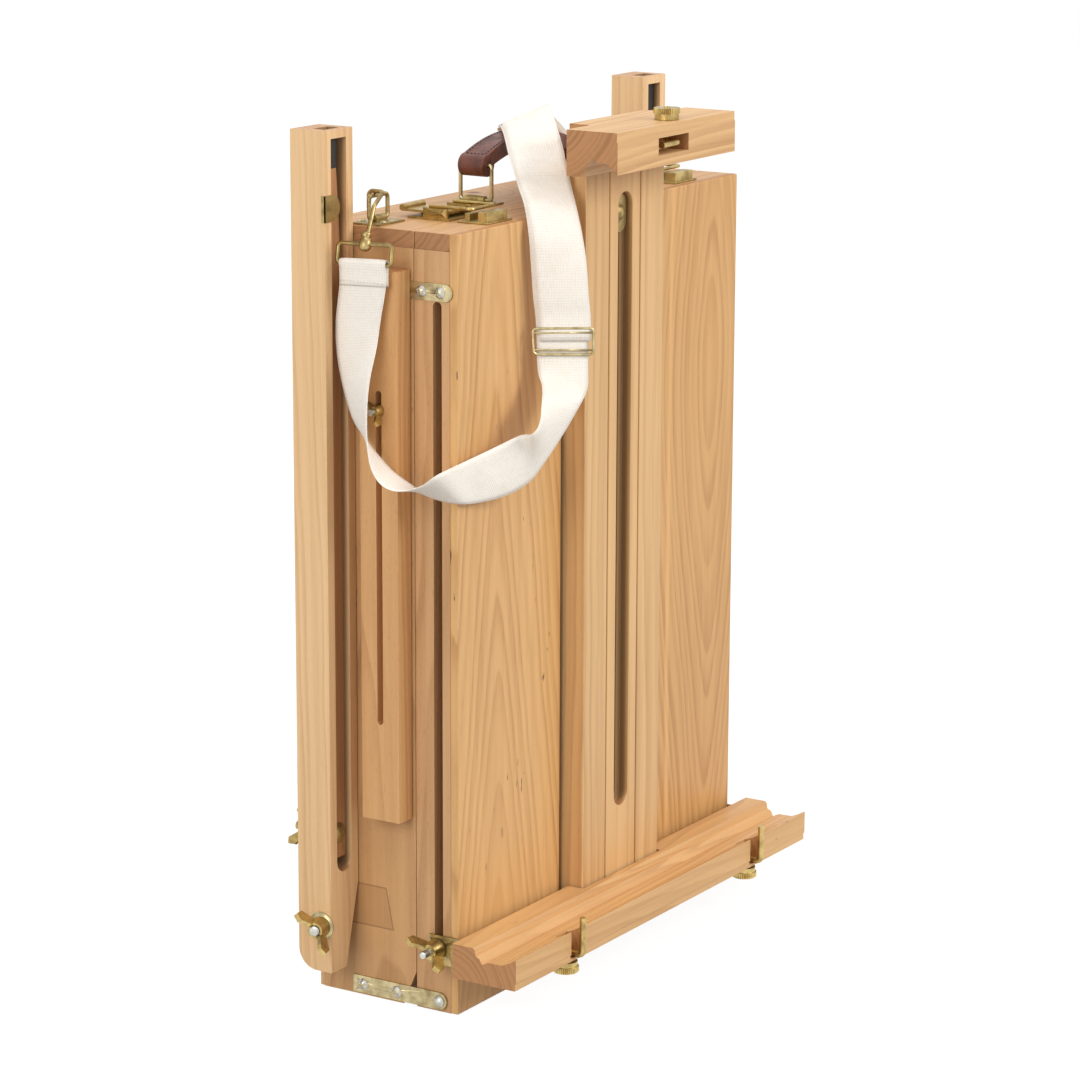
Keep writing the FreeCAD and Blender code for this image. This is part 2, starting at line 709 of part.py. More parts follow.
def strap_fitting_parts():
    half = S.strap_ring_width / 2
    wire = S.strap_wire / 2
    plate = box("eye_plate", -STRAP_EYE_X - 16, -STRAP_EYE_X + 16, STRAP_EYE_Y - 11, STRAP_EYE_Y + 11,
                TOP, PLATE_TOP)
    foot_z = PLATE_TOP + wire + S.running_gap
    ear_out = wire + 1.5
    post = box("eye_foot", -STRAP_EYE_X - half + 5, -STRAP_EYE_X + half - 5, STRAP_EYE_Y - ear_out,
               STRAP_EYE_Y + ear_out, PLATE_TOP, foot_z)
    ear = rod("eye_ear", "x", -STRAP_EYE_X - half + 5, STRAP_EYE_Y, foot_z, ear_out,
              S.strap_ring_width - 10)
    bore = rod("eye_bore", "x", -STRAP_EYE_X - half, STRAP_EYE_Y, foot_z, wire + 0.1, S.strap_ring_width)
    seat = cut("eye_seat", fused("eye_blank", [plate, post, ear]), [bore])
    top_z = foot_z + S.strap_ring_rise
    corners = [point(-STRAP_EYE_X - half, STRAP_EYE_Y, foot_z), point(-STRAP_EYE_X + half, STRAP_EYE_Y, foot_z),
               point(-STRAP_EYE_X + half, STRAP_EYE_Y, top_z), point(-STRAP_EYE_X - half, STRAP_EYE_Y, top_z)]
    ring = shaped("strap_ring", wire_rod(corners, wire.value, 3.0, closed=True))
    node(both_sides("strap_eyes", group("strap_eye_set", [seat, ring])), "strap_eyes")
    node(snap_hooks(number(top_z)), "snap_hooks")


def snap_hooks(ring_top):
    """A snap hook and strap buckle at each end; the left one hangs over the edge."""
    x = -number(STRAP_EYE_X)
    y = number(STRAP_EYE_Y)
    wire = number(S.strap_wire) / 2
    left_end = (LEFT_BUCKLE[0] + LEFT_BUCKLE[1]) * 0.5
    rest = ring_top + 2 * wire - 0.05
    left = [Vector(x - 4, y + 5, ring_top - 9), Vector(x - 4, y + 5, rest),
            Vector(x - 4, y - 7, rest), Vector(x - 22, y - 12, ring_top - 4), left_end]
    right_end = (RIGHT_BUCKLE[0] + RIGHT_BUCKLE[1]) * 0.5
    right = [Vector(-x + 4, y - 5, ring_top - 9), Vector(-x + 4, y - 5, rest),
             Vector(-x + 4, y + 8, rest), Vector(-x - 6, y + 18, ring_top - 5), right_end]
    ends = []
    for name, hook, buckle in (("a", left, LEFT_BUCKLE), ("b", right, RIGHT_BUCKLE)):
        whole = wire_rod(hook, wire, 3.5).fuse(wire_rod(buckle, wire, 3.0, closed=True))
        ends.append(shaped(f"snap_hook_{name}", whole.removeSplitter()))
    return group("snap_hooks", ends)


LEFT_BUCKLE = [Vector(-211.5, 22.3, 541), Vector(-211.5, -21.7, 542.5),
               Vector(-213.5, -21.7, 529), Vector(-213.5, 22.3, 527.5)]
RIGHT_BUCKLE = [Vector(155, 20.8, 557), Vector(155, 64.8, 557), Vector(144, 64.8, 556), Vector(144, 20.8, 556)]

# The webbing's route: its two edges at each station, from the left buckle to the right one
STRAP_EDGES = [
    ((-213.5, 19.3, 524.5), (-213.5, -18.7, 526)),
    ((-213.5, 20.5, 510), (-213.5, -17, 512)),
    ((-213.5, 23.8, 487), (-214.5, -14, 492)),
    ((-213.5, 23.0, 467), (-219, -13.5, 474)),
    ((-213.5, 18.5, 444), (-228.5, -14.5, 454)),
    ((-213, 11.2, 422), (-235, -16.6, 435)),
    ((-211.5, 2.2, 409.5), (-241, -20.8, 413)),
    ((-210, -9.0, 397.5), (-243.7, -25.6, 396.7)),
    ((-209.4, -20.5, 387), (-241, -32.9, 385.9)),
    ((-203, -31.5, 378), (-235.9, -42.9, 381.6)),
    ((-197, -43, 369.8), (-229.6, -55.2, 384.9)),
    ((-194, -62, 367.5), (-221.5, -65, 393)),
    ((-172.1, -66, 365), (-194.3, -65, 395.8)),
    ((-148, -73, 366.7), (-164.6, -69.2, 400.7)),
    ((-131.7, -79, 373), (-146.1, -80, 408.1)),
    ((-120.5, -83.5, 384.2), (-145.4, -91, 410.5)),
    ((-103.5, -88, 401.1), (-138, -92, 417)),
    ((-90.4, -93, 419.7), (-126, -86.5, 428)),
    ((-77.7, -93, 431.3), (-112.3, -77.6, 437)),
    ((-75.7, -92, 445.2), (-106.5, -70.5, 448.3)),
    ((-74.4, -91, 479.3), (-104, -67, 480.7)),
    ((-77.2, -91, 495.5), (-105.9, -66.1, 497)),
    ((-78.5, -90, 517.1), (-107.2, -65.2, 518.5)),
    ((-77.7, -86, 536.7), (-108.5, -64.1, 540)),
    ((-73.5, -79, 552.9), (-104.7, -58.2, 559.1)),
    ((-62.1, -67, 568), (-94, -46.5, 569.9)),
    ((-59.3, -62, 580.3), (-90.2, -39.9, 580.5)),
    ((-45.9, -52, 584.8), (-75.3, -27.9, 584.6)),
    ((-32.4, -42, 589.3), (-59.5, -15.4, 588.7)),
    ((-6.6, -20, 601.6), (-35.9, 3.2, 597.5)),
    ((14, -3, 608.5), (-14, 20, 600)),
    ((22, 4, 611.1), (-4.7, 25.1, 599)),
    ((32, 10, 608), (6, 37, 594)),
    ((62, 18, 596), (30, 44, 583)),
    ((100, 25, 572), (84, 58, 567)),
    ((142, 23.8, 557), (142, 61.8, 557)),
]


def webbing_section(edge_a, edge_b, forward, wall):
    """The four corners of the webbing's cross-section, square to the way it runs."""
    a = Vector(*edge_a)
    b = Vector(*edge_b)
    across = (b - a).normalize()
    skin = across.cross(forward).normalize() * (wall / 2)
    return [a + skin, b + skin, b - skin, a - skin]


def webbing_band(sections):
    """A closed solid through the cross-sections."""
    faces = []
    for here, there in zip(sections, sections[1:]):
        for index in range(4):
            following = (index + 1) % 4
            near_edge = Part.makeLine(here[index], here[following])
            far_edge = Part.makeLine(there[index], there[following])
            faces.append(Part.makeRuledSurface(near_edge, far_edge))
    for end in (sections[0], sections[-1]):
        faces.append(Part.Face(Part.makePolygon(end + end[:1])))
    skin = Part.makeCompound(faces)
    skin.sewShape()
    band = Part.Solid(skin.Shells[0])
    if band.Volume < 0:
        band.reverse()
    return band


def strap_parts():
    wall = number(S.webbing)
    middles = [(Vector(*a) + Vector(*b)) * 0.5 for a, b in STRAP_EDGES]
    sections = []
    for index, (edge_a, edge_b) in enumerate(STRAP_EDGES):
        before = middles[max(index - 1, 0)]
        after = middles[min(index + 1, len(middles) - 1)]
        sections.append(webbing_section(edge_a, edge_b, (after - before).normalize(), wall))
    band = webbing_band(sections)
    for bar_end, other_end in (LEFT_BUCKLE[2:], RIGHT_BUCKLE[2:]):
        along = (other_end - bar_end).normalize()
        room = ((other_end - bar_end).Length - 38) / 2
        inner = number(S.strap_wire) / 2 + 0.1
        sleeve = Part.makeCylinder(inner + wall, 38, bar_end + along * room, along)
        band = band.fuse(sleeve)
        band = band.cut(Part.makeCylinder(inner, 40, bar_end + along * (room - 1), along))
    webbing = shaped("strap_webbing_band", band.removeSplitter())
    node(group("shoulder_strap", [webbing, shaped("strap_slider", slider_frame(wall))]), "shoulder_strap")


SLIDER_EDGES = STRAP_EDGES[19:21]


def slider_frame(wall):
    """The strap's adjuster: a wire frame that lies on the webbing's outer face."""
    wire = 1.1
    (low_a, low_b), (high_a, high_b) = [(Vector(*a), Vector(*b)) for a, b in SLIDER_EDGES]
    corners = []
    for share, ends in ((0.84, "ab"), (0.3, "ba")):
        a = low_a + (high_a - low_a) * share
        b = low_b + (high_b - low_b) * share
        across = (b - a).normalize()
        outward = across.cross((high_a - low_a).normalize()).normalize()
        if outward.y > 0:
            outward = -outward
        lift = outward * (wall / 2 + wire + number(S.running_gap))
        pair = {"a": a - across * 3.4 + lift, "b": b + across * 3.4 + lift}
        corners += [pair[end] for end in ends]
    return wire_rod(corners, wire, 3.0, closed=True)


# The lid: sides, end boards, panels and the mast's rails

def lid_parts():
    slot_y = FRONT + S.side_slot_place
    way = slot("side_slot_cut", "x", -LID_HALF - 1, slot_y, S.side_slot_foot, S.side_slot,
               SIDE_SLOT_TOP - S.side_slot_foot, S.side_wall + 2)
    pivot = pivot_screw("lid_pivot_bore")
    bracket_screws = stay_bracket_screws("bracket_bore")
    board = box("lid_side_board", -LID_HALF, -LID_INSIDE, PANEL_BACK, LID_BACK, 0, BOARD_TOP)
    left = cut("lid_side_left", board, [way, pivot, bracket_screws])
    node(left, "lid_side_left")
    node(mirrored("lid_side_right", left), "lid_side_right")
    notch = fused("rail_notch", [
        box("rail_notch_wide", -FLANGE, FLANGE, PANEL_BACK - 1, RAIL_BACK, BOARD_TOP - 1, TOP + 1),
        box("rail_notch_deep", -RAIL_INNER / 2, RAIL_INNER / 2, RAIL_BACK - 1, RAIL_BACK + 14,
            BOARD_TOP - 1, TOP + 1)])
    top = box("lid_top_blank", -LID_HALF, LID_HALF, PANEL_BACK, LID_BACK, BOARD_TOP, TOP)
    node(cut("lid_top_board", top, [notch]), "lid_top_board")
    node(box("lid_bottom_board", -LID_INSIDE, LID_INSIDE, PANEL_BACK, LID_BACK, 0, S.end_wall),
         "lid_bottom_board")
    panel = box("lid_panel", -LID_HALF, -PANEL_INNER, FRONT, PANEL_BACK, 0, TOP)
    node(both_sides("lid_panels", panel), "lid_panels")
    rail = box("rail_front", -RAIL_OUTER, -RAIL_INNER, RAIL_FRONT, RAIL_BACK, S.end_wall, RAIL_TOP)
    flange = box("rail_flange", -FLANGE, -RAIL_OUTER, PANEL_BACK, RAIL_BACK, S.end_wall, BOARD_TOP)
    node(both_sides("mast_rails", fused("mast_rail", [rail, flange])), "mast_rails")
    block_top = RAIL_TOP - 4
    block = box("mast_block_blank", -RAIL_INNER, RAIL_INNER, MAST_BACK + S.running_gap, RAIL_BACK,
                block_top - S.mast_block_rise, block_top)
    bolt = mast_bolt()
    node(group("mast_clamp", [cut("mast_block", block, [bolt]), bolt]), "mast_clamp")
    screws = both_sides("lid_pivot_screws", pivot)
    node(screws, "lid_pivot_screws")
    low = STAY_PIVOT_Z - 6
    outer = -HALF - S.stay_plate
    plate = fused("stay_bracket_plate", [
        box("stay_bracket_seat", outer, -LID_HALF, FRONT + 9, LID_BACK, low, low + 12),
        rod("stay_bracket_nose", "x", outer, FRONT + 9, STAY_PIVOT_Z, 6.0, S.stay_plate + S.lid_side_gap),
        box("stay_bracket_tongue", outer, -HALF - S.running_gap, LID_BACK - 1, STAY_Y + 8, low, low + 12),
        rod("stay_bracket_pin", "x", STAY_IN - 7, STAY_Y, STAY_PIVOT_Z, 2.5, 7.5)])
    bare = cut("stay_bracket_cut", plate, [bracket_screws])
    node(both_sides("stay_brackets", group("stay_bracket_set", [bare, bracket_screws])), "stay_brackets")


def pivot_screw(name):
    """The screw that the left side of the lid turns on."""
    face = -HALF - S.hinge_strap_wall
    start = point(face - 0.1, HINGE_Y, S.hinge_rise)
    depth = number(S.hinge_strap_wall + S.side_wall * 0.8)
    return shaped(name, screw(start, LEFT, S.screw_head.value, S.screw_shank.value, depth))


def stay_bracket_screws(name):
    face = -HALF - S.stay_plate
    heads = [screw(point(face, FRONT + place, STAY_PIVOT_Z), LEFT, 6.6, 3.0, 9.0)
             for place in (13.0, 28.0)]
    return shaped(name, Part.makeCompound(heads))


def mast_bolt():
    """The guide bolt in the mast's groove: an oval head, a shank and a nut behind the block."""
    floor = number(RAIL_FRONT + S.mast_groove_deep)
    z = number(MAST_BOLT_Z)
    radius = 7.8
    straight = 12.0
    plate = Part.makeBox(2 * radius, 3.0, straight, Vector(-radius, floor - 3.3, z - straight / 2))
    for end in (-1, 1):
        at = Vector(0, floor - 3.3, z + end * straight / 2)
        plate = plate.fuse(Part.makeCylinder(radius, 3.0, at, Vector(0, 1, 0)))
    head = dome(Vector(0, floor - 3.3, z), FORWARD, 5.5, 2.2)
    back = number(RAIL_BACK)
    shank = Part.makeCylinder(number(S.mast_bolt) / 2, back + 11 - floor + 3.3,
                              Vector(0, floor - 3.3, z), Vector(0, 1, 0))
    return shaped("mast_bolt", plate.fuse(head).fuse(shank).removeSplitter())


# The mast: a grooved bar that slides up between the rails with the top clamp

MAST_GROOVE_TOP = MAST_TOP - S.mast_groove_headroom

def mast_parts():
    half = S.mast_width / 2
    bar = box("mast_blank", -half, half, RAIL_FRONT, MAST_BACK, S.mast_foot, MAST_TOP)
    foot = S.mast_groove_foot + S.mast_groove / 2
    run = MAST_GROOVE_TOP - S.mast_groove_foot - S.mast_groove
    groove = slot("mast_groove", "y", length(0), RAIL_FRONT - 1, foot, S.mast_groove, run,
                  S.mast_groove_deep + 1)
    way = slot("mast_slot", "y", length(0), RAIL_FRONT, foot, S.mast_slot, run, S.mast_wall + 1)
    node(cut("mast_bar", bar, [fused("mast_cutter", [groove, way])]), "mast_bar")
    clamp_parts()


def moulding(back, front, low, high, turn):
    """The tray's section in Y and Z; turned over for the top clamp."""
    depth = front - back
    rise = high - low
    shares = [(0, 0), (0, 1), (0.33, 1), (0.36, 0.93), (0.37, 0.78), (0.43, 0.72), (0.47, 0.56),
              (0.56, 0.66), (0.78, 0.67), (0.88, 0.76), (1, 0.9), (1, 0.22), (0.985, 0.19), (0.985, 0)]
    if turn:
        return [(back + depth * a, high - rise * b) for a, b in reversed(shares)]
    return [(back + depth * a, low + rise * b) for a, b in shares]


CLAMP_BACK = RAIL_FRONT - 1.0
CLAMP_FRONT = CLAMP_BACK - S.clamp_depth
CLAMP_TOP = MAST_TOP + S.clamp_rise
TOP_HOOK_Y = CLAMP_BACK - S.clamp_depth * 0.66


def clamp_parts():
    half = S.clamp_width / 2
    block = profile("clamp_moulding", "YZ", moulding(CLAMP_BACK, CLAMP_FRONT, MAST_TOP, CLAMP_TOP, True),
                    S.clamp_width, -half)
    tongue = box("clamp_tongue_blank", -(S.clamp_tongue / 2), S.clamp_tongue / 2, CLAMP_BACK - 2,
                 CLAMP_BACK + S.clamp_tongue_deep, MAST_TOP, CLAMP_TOP)
    wire = S.hook_wire / 2
    hook = shaped("top_hook_wire", wire_rod(
        [point(8, TOP_HOOK_Y, CLAMP_TOP + S.knurl_nut_rise + 1), point(8, TOP_HOOK_Y, MAST_TOP + 17),
         point(8, CLAMP_FRONT + 4, MAST_TOP + 17), point(-17, CLAMP_FRONT + 3, MAST_TOP + 17)],
        wire.value, 4.0))
    recess = box("top_hook_recess", -26, 15, CLAMP_FRONT - 1, TOP_HOOK_Y + 5, MAST_TOP + 11, MAST_TOP + 23)
    bore = rod("top_hook_bore", "z", 8, TOP_HOOK_Y, MAST_TOP + 15, wire + 0.4, S.clamp_rise)
    whole = fused("clamp_blank", [block, tongue])
    node(cut("top_clamp", whole, [recess, bore]), "top_clamp")
    nut = rod("top_nut_blank", "z", 8, TOP_HOOK_Y, CLAMP_TOP + S.running_gap, S.knurl_nut / 2,
              S.knurl_nut_rise)
    node(group("top_hook_set", [hook, cut("top_nut", nut, [hook])]), "top_hook")


# The tray: a moulded shelf that slides up the lid on two side brackets

TRAY_HALF = HALF + S.tray_overhang
TRAY_BACK = FRONT - S.tray_gap
TRAY_FRONT = TRAY_BACK - S.tray_depth
TRAY_TOP = S.tray_foot + S.tray_rise
TRAY_HOOK_Y = TRAY_FRONT + 9.0
SLOT_Y = FRONT + S.side_slot_place


def tray_parts():
    half = TRAY_HALF
    block = profile("tray_moulding", "YZ", moulding(TRAY_BACK, TRAY_FRONT, S.tray_foot, TRAY_TOP, False),
                    half * 2, -half)
    reach = RAIL_OUTER + S.tray_notch_gap
    notch = box("tray_notch", -reach, reach, RAIL_FRONT - S.tray_notch_gap, TRAY_BACK + 1,
                S.tray_foot - 1, TRAY_TOP + 1)
    recesses = [box(f"hook_recess_{i}", side * S.tray_hook_place - 7, side * S.tray_hook_place + 7,
                    TRAY_FRONT - 1, TRAY_HOOK_Y + 4, S.tray_foot + 2, S.tray_foot + 24)
                for i, side in enumerate((-1, 1))]
    wire = S.hook_wire / 2
    bores = [rod(f"hook_bore_{i}", "z", side * S.tray_hook_place, TRAY_HOOK_Y, S.tray_foot - 1,
                 wire + 0.4, 8.0) for i, side in enumerate((-1, 1))]
    flange_screws = [shaped(f"flange_screw_{i}", screw(
        point(-half + 7, TRAY_BACK + S.bracket_wall, S.tray_foot + place), Vector(0, 1, 0), 5.4, 2.6, 9.0))
        for i, place in enumerate((5.5, 17.5))]
    screws = both_sides("tray_flange_screws", group("flange_screw_pair", flange_screws))
    node(cut("tray", block, [notch] + recesses + bores + [screws]), "tray")
    hook = shaped("tray_hook_wire", wire_rod(
        [point(-S.tray_hook_place, TRAY_HOOK_Y, S.tray_foot - 12),
         point(-S.tray_hook_place, TRAY_HOOK_Y, S.tray_foot + 4.5),
         point(-S.tray_hook_place, TRAY_FRONT - 5, S.tray_foot + 4.5),
         point(-S.tray_hook_place, TRAY_FRONT - 5, S.tray_foot + 32)], wire.value, 3.0))
    nut = rod("tray_nut_blank", "z", -S.tray_hook_place, TRAY_HOOK_Y,
              S.tray_foot - S.knurl_nut_rise - S.tray_hook_lift, S.knurl_nut / 2, S.knurl_nut_rise)
    turned = cut("tray_nut_cut", nut, [hook])
    left = group("tray_hook_left", [hook, turned])
    node(left, "tray_hook_left")
    node(mirrored("tray_hook_right", left), "tray_hook_right")
    bracket_parts(screws, flange_screws)


def bracket_parts(screws, flange_screws):
    wall = S.bracket_wall
    face = -HALF - S.running_gap
    half = TRAY_HALF
    low = S.tray_foot + 1.5
    side = box("bracket_side", face - wall, face, TRAY_BACK, SLOT_Y + 7, low, low + S.bracket_rise)
    flange = box("bracket_flange", -half + 1, face, TRAY_BACK, TRAY_BACK + wall, low, low + S.bracket_rise)
    head_x = -LID_INSIDE + S.running_gap
    bolt_run = head_x + HALF + S.running_gap + wall + 13
    shank = rod("tray_bolt_shank", "x", -HALF - S.running_gap - wall - 13, SLOT_Y, S.tray_bolt_rise,
                S.tray_bolt / 2, bolt_run)
    head = rod("tray_bolt_head", "x", head_x, SLOT_Y, S.tray_bolt_rise, 7.0, 3.5)
    bolt = fused("tray_bolt_whole", [shank, head])
    plate = cut("tray_bracket_cut", fused("tray_bracket_blank", [side, flange]), [bolt] + flange_screws)
    washer = rod("tray_washer_blank", "x", face - wall - 1.2, SLOT_Y, S.tray_bolt_rise, 6.5, 1.2)
    ring = cut("tray_washer", washer, [bolt])
    lot = group("tray_bracket_set", [plate, bolt, ring] + flange_screws)
    node(both_sides("tray_brackets", lot), "tray_brackets")
    nut_at = point(face - wall - 1.4, SLOT_Y, S.tray_bolt_rise)
    turn = math.radians(35)
    nut = wing_nut("tray_wing_nut_left", nut_at, LEFT, Vector(0, math.cos(turn), math.sin(turn)),
                   S.tray_bolt, 1.3)
    node(nut, "tray_wing_nut_left")
    node(mirrored("tray_wing_nut_right", nut), "tray_wing_nut_right")


# The stays: a slotted arm on the lid, and a slat that slides in its back

STAY_Y = SEAM + S.stay_front + S.stay_width / 2
STAY_IN = -HALF - S.stay_plate - S.running_gap
STAY_OUT = STAY_IN - S.stay_wall
STAY_SLOT_TOP = STAY_TOP - S.stay_slot_headroom
STAY_BOLT_Z = STAY_SLOT_TOP - S.stay_bolt_drop


def stay_parts():
    half = S.stay_width / 2
    arm = box("stay_blank", STAY_OUT, STAY_IN, STAY_Y - half, STAY_Y + half, S.stay_foot, STAY_TOP)
    slat_half = S.slat_width / 2 + S.running_gap
    slat_deep = S.slat_wall + S.running_gap
    channel = box("stay_channel", STAY_IN - slat_deep, STAY_IN + 1, STAY_Y - slat_half,
                  STAY_Y + slat_half, S.stay_foot - 1, STAY_SLOT_TOP + 12)
    half_slot = S.stay_slot / 2
    way = slot("stay_slot_cut", "x", STAY_OUT - 1, STAY_Y, S.stay_slot_foot + half_slot, S.stay_slot,
               STAY_SLOT_TOP - S.stay_slot_foot - S.stay_slot, S.stay_wall)
    pin_hole = rod("stay_pin_hole", "x", STAY_IN - 9, STAY_Y, STAY_PIVOT_Z, 2.6, 10.0)
    left = cut("stay_arm_left", arm, [channel, way, pin_hole])
    node(left, "stay_arm_left")
    node(mirrored("stay_arm_right", left), "stay_arm_right")
    slat_y = S.slat_width / 2
    eye = rod("slat_eye", "x", STAY_IN - S.slat_wall, STAY_Y, S.stay_eye_rise, slat_y, S.slat_wall)
    bar = box("slat_bar", STAY_IN - S.slat_wall, STAY_IN, STAY_Y - slat_y, STAY_Y + slat_y,
              S.stay_eye_rise, STAY_BOLT_Z + 9)
    reach = S.stay_wall + 10
    bolt = rod("stay_bolt_shank", "x", STAY_IN - reach, STAY_Y, STAY_BOLT_Z, S.stay_bolt / 2, reach)
    slat = cut("slat_cut", fused("slat_blank", [bar, eye]), [bolt])
    left_slat = group("stay_slat_left", [slat, bolt])
    node(left_slat, "stay_slat_left")
    node(mirrored("stay_slat_right", left_slat), "stay_slat_right")
    turn = math.radians(48)
    nut = wing_nut("stay_wing_nut_left", point(STAY_OUT - 0.4, STAY_Y, STAY_BOLT_Z), LEFT,
                   Vector(0, math.cos(turn), math.sin(turn)), S.stay_bolt, 0.85)
    node(nut, "stay_wing_nut_left")
    node(mirrored("stay_wing_nut_right", nut), "stay_wing_nut_right")


# The legs: a channelled upper leg on a pivot, and a lower leg that slides out of it

LEG_IN = -HALF - S.leg_gap
LEG_OUT = LEG_IN - S.leg_width
LEG_FRONT = BACK - S.leg_setback - S.leg_depth
LEG_BACK = BACK - S.leg_setback
LEG_X = (LEG_IN + LEG_OUT) / 2
LEG_HEAD = TOP + S.leg_head_rise


def side_leg_parts():
    foot = S.leg_foot
    blank = box("leg_blank", LEG_OUT, LEG_IN, LEG_FRONT, LEG_BACK, foot, LEG_HEAD)
    bevel = profile("leg_bevel_cut", "XZ",
                    [(LEG_IN + 1, foot - 1), (LEG_IN - S.leg_bevel - 0.25, foot - 1),
                     (LEG_IN, foot + S.leg_bevel_rise), (LEG_IN + 1, foot + S.leg_bevel_rise)],
                    S.leg_depth + 2, LEG_FRONT - 1)
    corner = box("leg_corner_block", LEG_OUT - 1, LEG_IN + 1, LEG_BACK - S.leg_round, LEG_BACK + 1,
                 foot - 1, foot + S.leg_round)
    curve = rod("leg_corner_round", "x", LEG_OUT - 2, LEG_BACK - S.leg_round, foot + S.leg_round,
                S.leg_round, S.leg_width + 4)
    rounding = cut("leg_rounding", corner, [curve])
    half = S.leg_channel / 2
    low = S.leg_channel_foot + half
    channel = fused("leg_channel_cut", [
        box("leg_channel_run", LEG_X - half, LEG_X + half, LEG_FRONT - 1, LEG_FRONT + S.leg_channel_deep,
            low, LEG_HEAD - S.leg_bridge),
        rod("leg_channel_end", "y", LEG_X, LEG_FRONT - 1, low, half, S.leg_channel_deep + 1),
        box("leg_channel_mouth", LEG_X - half, LEG_X + half, LEG_FRONT + S.leg_bridge_wall,
            LEG_FRONT + S.leg_channel_deep, low, LEG_HEAD + 1)])
    way = slot("leg_slot_cut", "y", LEG_X, LEG_FRONT + S.leg_channel_deep - 1, S.leg_bolt_rise,
               S.leg_bolt + 0.6, LEG_HEAD - S.leg_slot_headroom - S.leg_bolt_rise, S.leg_depth)
    bore = leg_pin("leg_pin_bore", S.pivot_bolt / 2 + 0.1)
    left = cut("leg_upper_left", blank, [bevel, rounding, channel, way, bore])
    node(left, "leg_upper_left")
    node(mirrored("leg_upper_right", left), "leg_upper_right")
    lower = lower_leg("left", LEG_X, LEG_FRONT + S.leg_bridge_wall + S.running_gap,
                      LEG_FRONT + S.leg_channel_deep - S.running_gap, LEG_BACK,
                      S.leg_channel_foot + 9, LEG_HEAD - S.leg_bridge + 2)
    node(lower, "leg_lower_left")
    node(mirrored("leg_lower_right", lower), "leg_lower_right")
    nut_at = point(LEG_X, LEG_BACK + 0.4, S.leg_bolt_rise)
    turn = math.radians(60)
    nut = wing_nut("leg_slide_nut_left", nut_at, Vector(0, 1, 0),
                   Vector(math.cos(turn), 0, math.sin(turn)), S.leg_bolt, 1.1)
    node(nut, "leg_slide_nut_left")
    node(mirrored("leg_slide_nut_right", nut), "leg_slide_nut_right")
    pivot = point(-INSIDE - 2, LEG_PIVOT_Y, S.leg_pivot_rise)
    reach = (number(LEG_OUT) - pivot.x) / LEG_AXIS.x + 3.4
    upright = Vector(0, 0, 1)
    across = LEG_AXIS.cross(upright).normalize() * math.cos(0.9) + upright * math.sin(0.9)
    pivot_nut = wing_nut("leg_pivot_nut_left", pivot + LEG_AXIS * reach, LEG_AXIS, across, S.pivot_bolt, 1.35)
    node(pivot_nut, "leg_pivot_nut_left")
    node(mirrored("leg_pivot_nut_right", pivot_nut), "leg_pivot_nut_right")


def lower_leg(name, x, front, back, bolt_end, foot, head):
    """A sliding slat with a tapered end, its rubber tip and the bolt that clamps it."""
    half = S.leg_channel / 2 - S.running_gap
    tip_foot = head - S.tip_rise
    taper = 4.0
    run = back - front
    slat = profile(f"lower_slat_{name}", "XZ",
                   [(x - half, foot), (x + half, foot), (x + half, tip_foot - 50),
                    (x + half - taper, tip_foot), (x - half, tip_foot)], run, front)
    tip = box(f"lower_tip_{name}", x - half, x + half - taper, front, back, tip_foot, head)
    at = point(x, front, S.leg_bolt_rise)
    shank = Part.makeCylinder(number(S.leg_bolt) / 2, number(bolt_end - front) + 12, at, Vector(0, 1, 0))
    bolt = shaped(f"lower_bolt_{name}", dome(at, FORWARD, 7.6, 3.2).fuse(shank).removeSplitter())
    bored = cut(f"lower_bored_{name}", slat, [bolt])
    return group(f"leg_lower_{name}", [bored, tip, bolt])


REAR_FRONT = BACK + S.rear_leg_gap
REAR_BACK = REAR_FRONT + S.rear_leg_depth
REAR_HEAD = TOP - S.rear_leg_drop


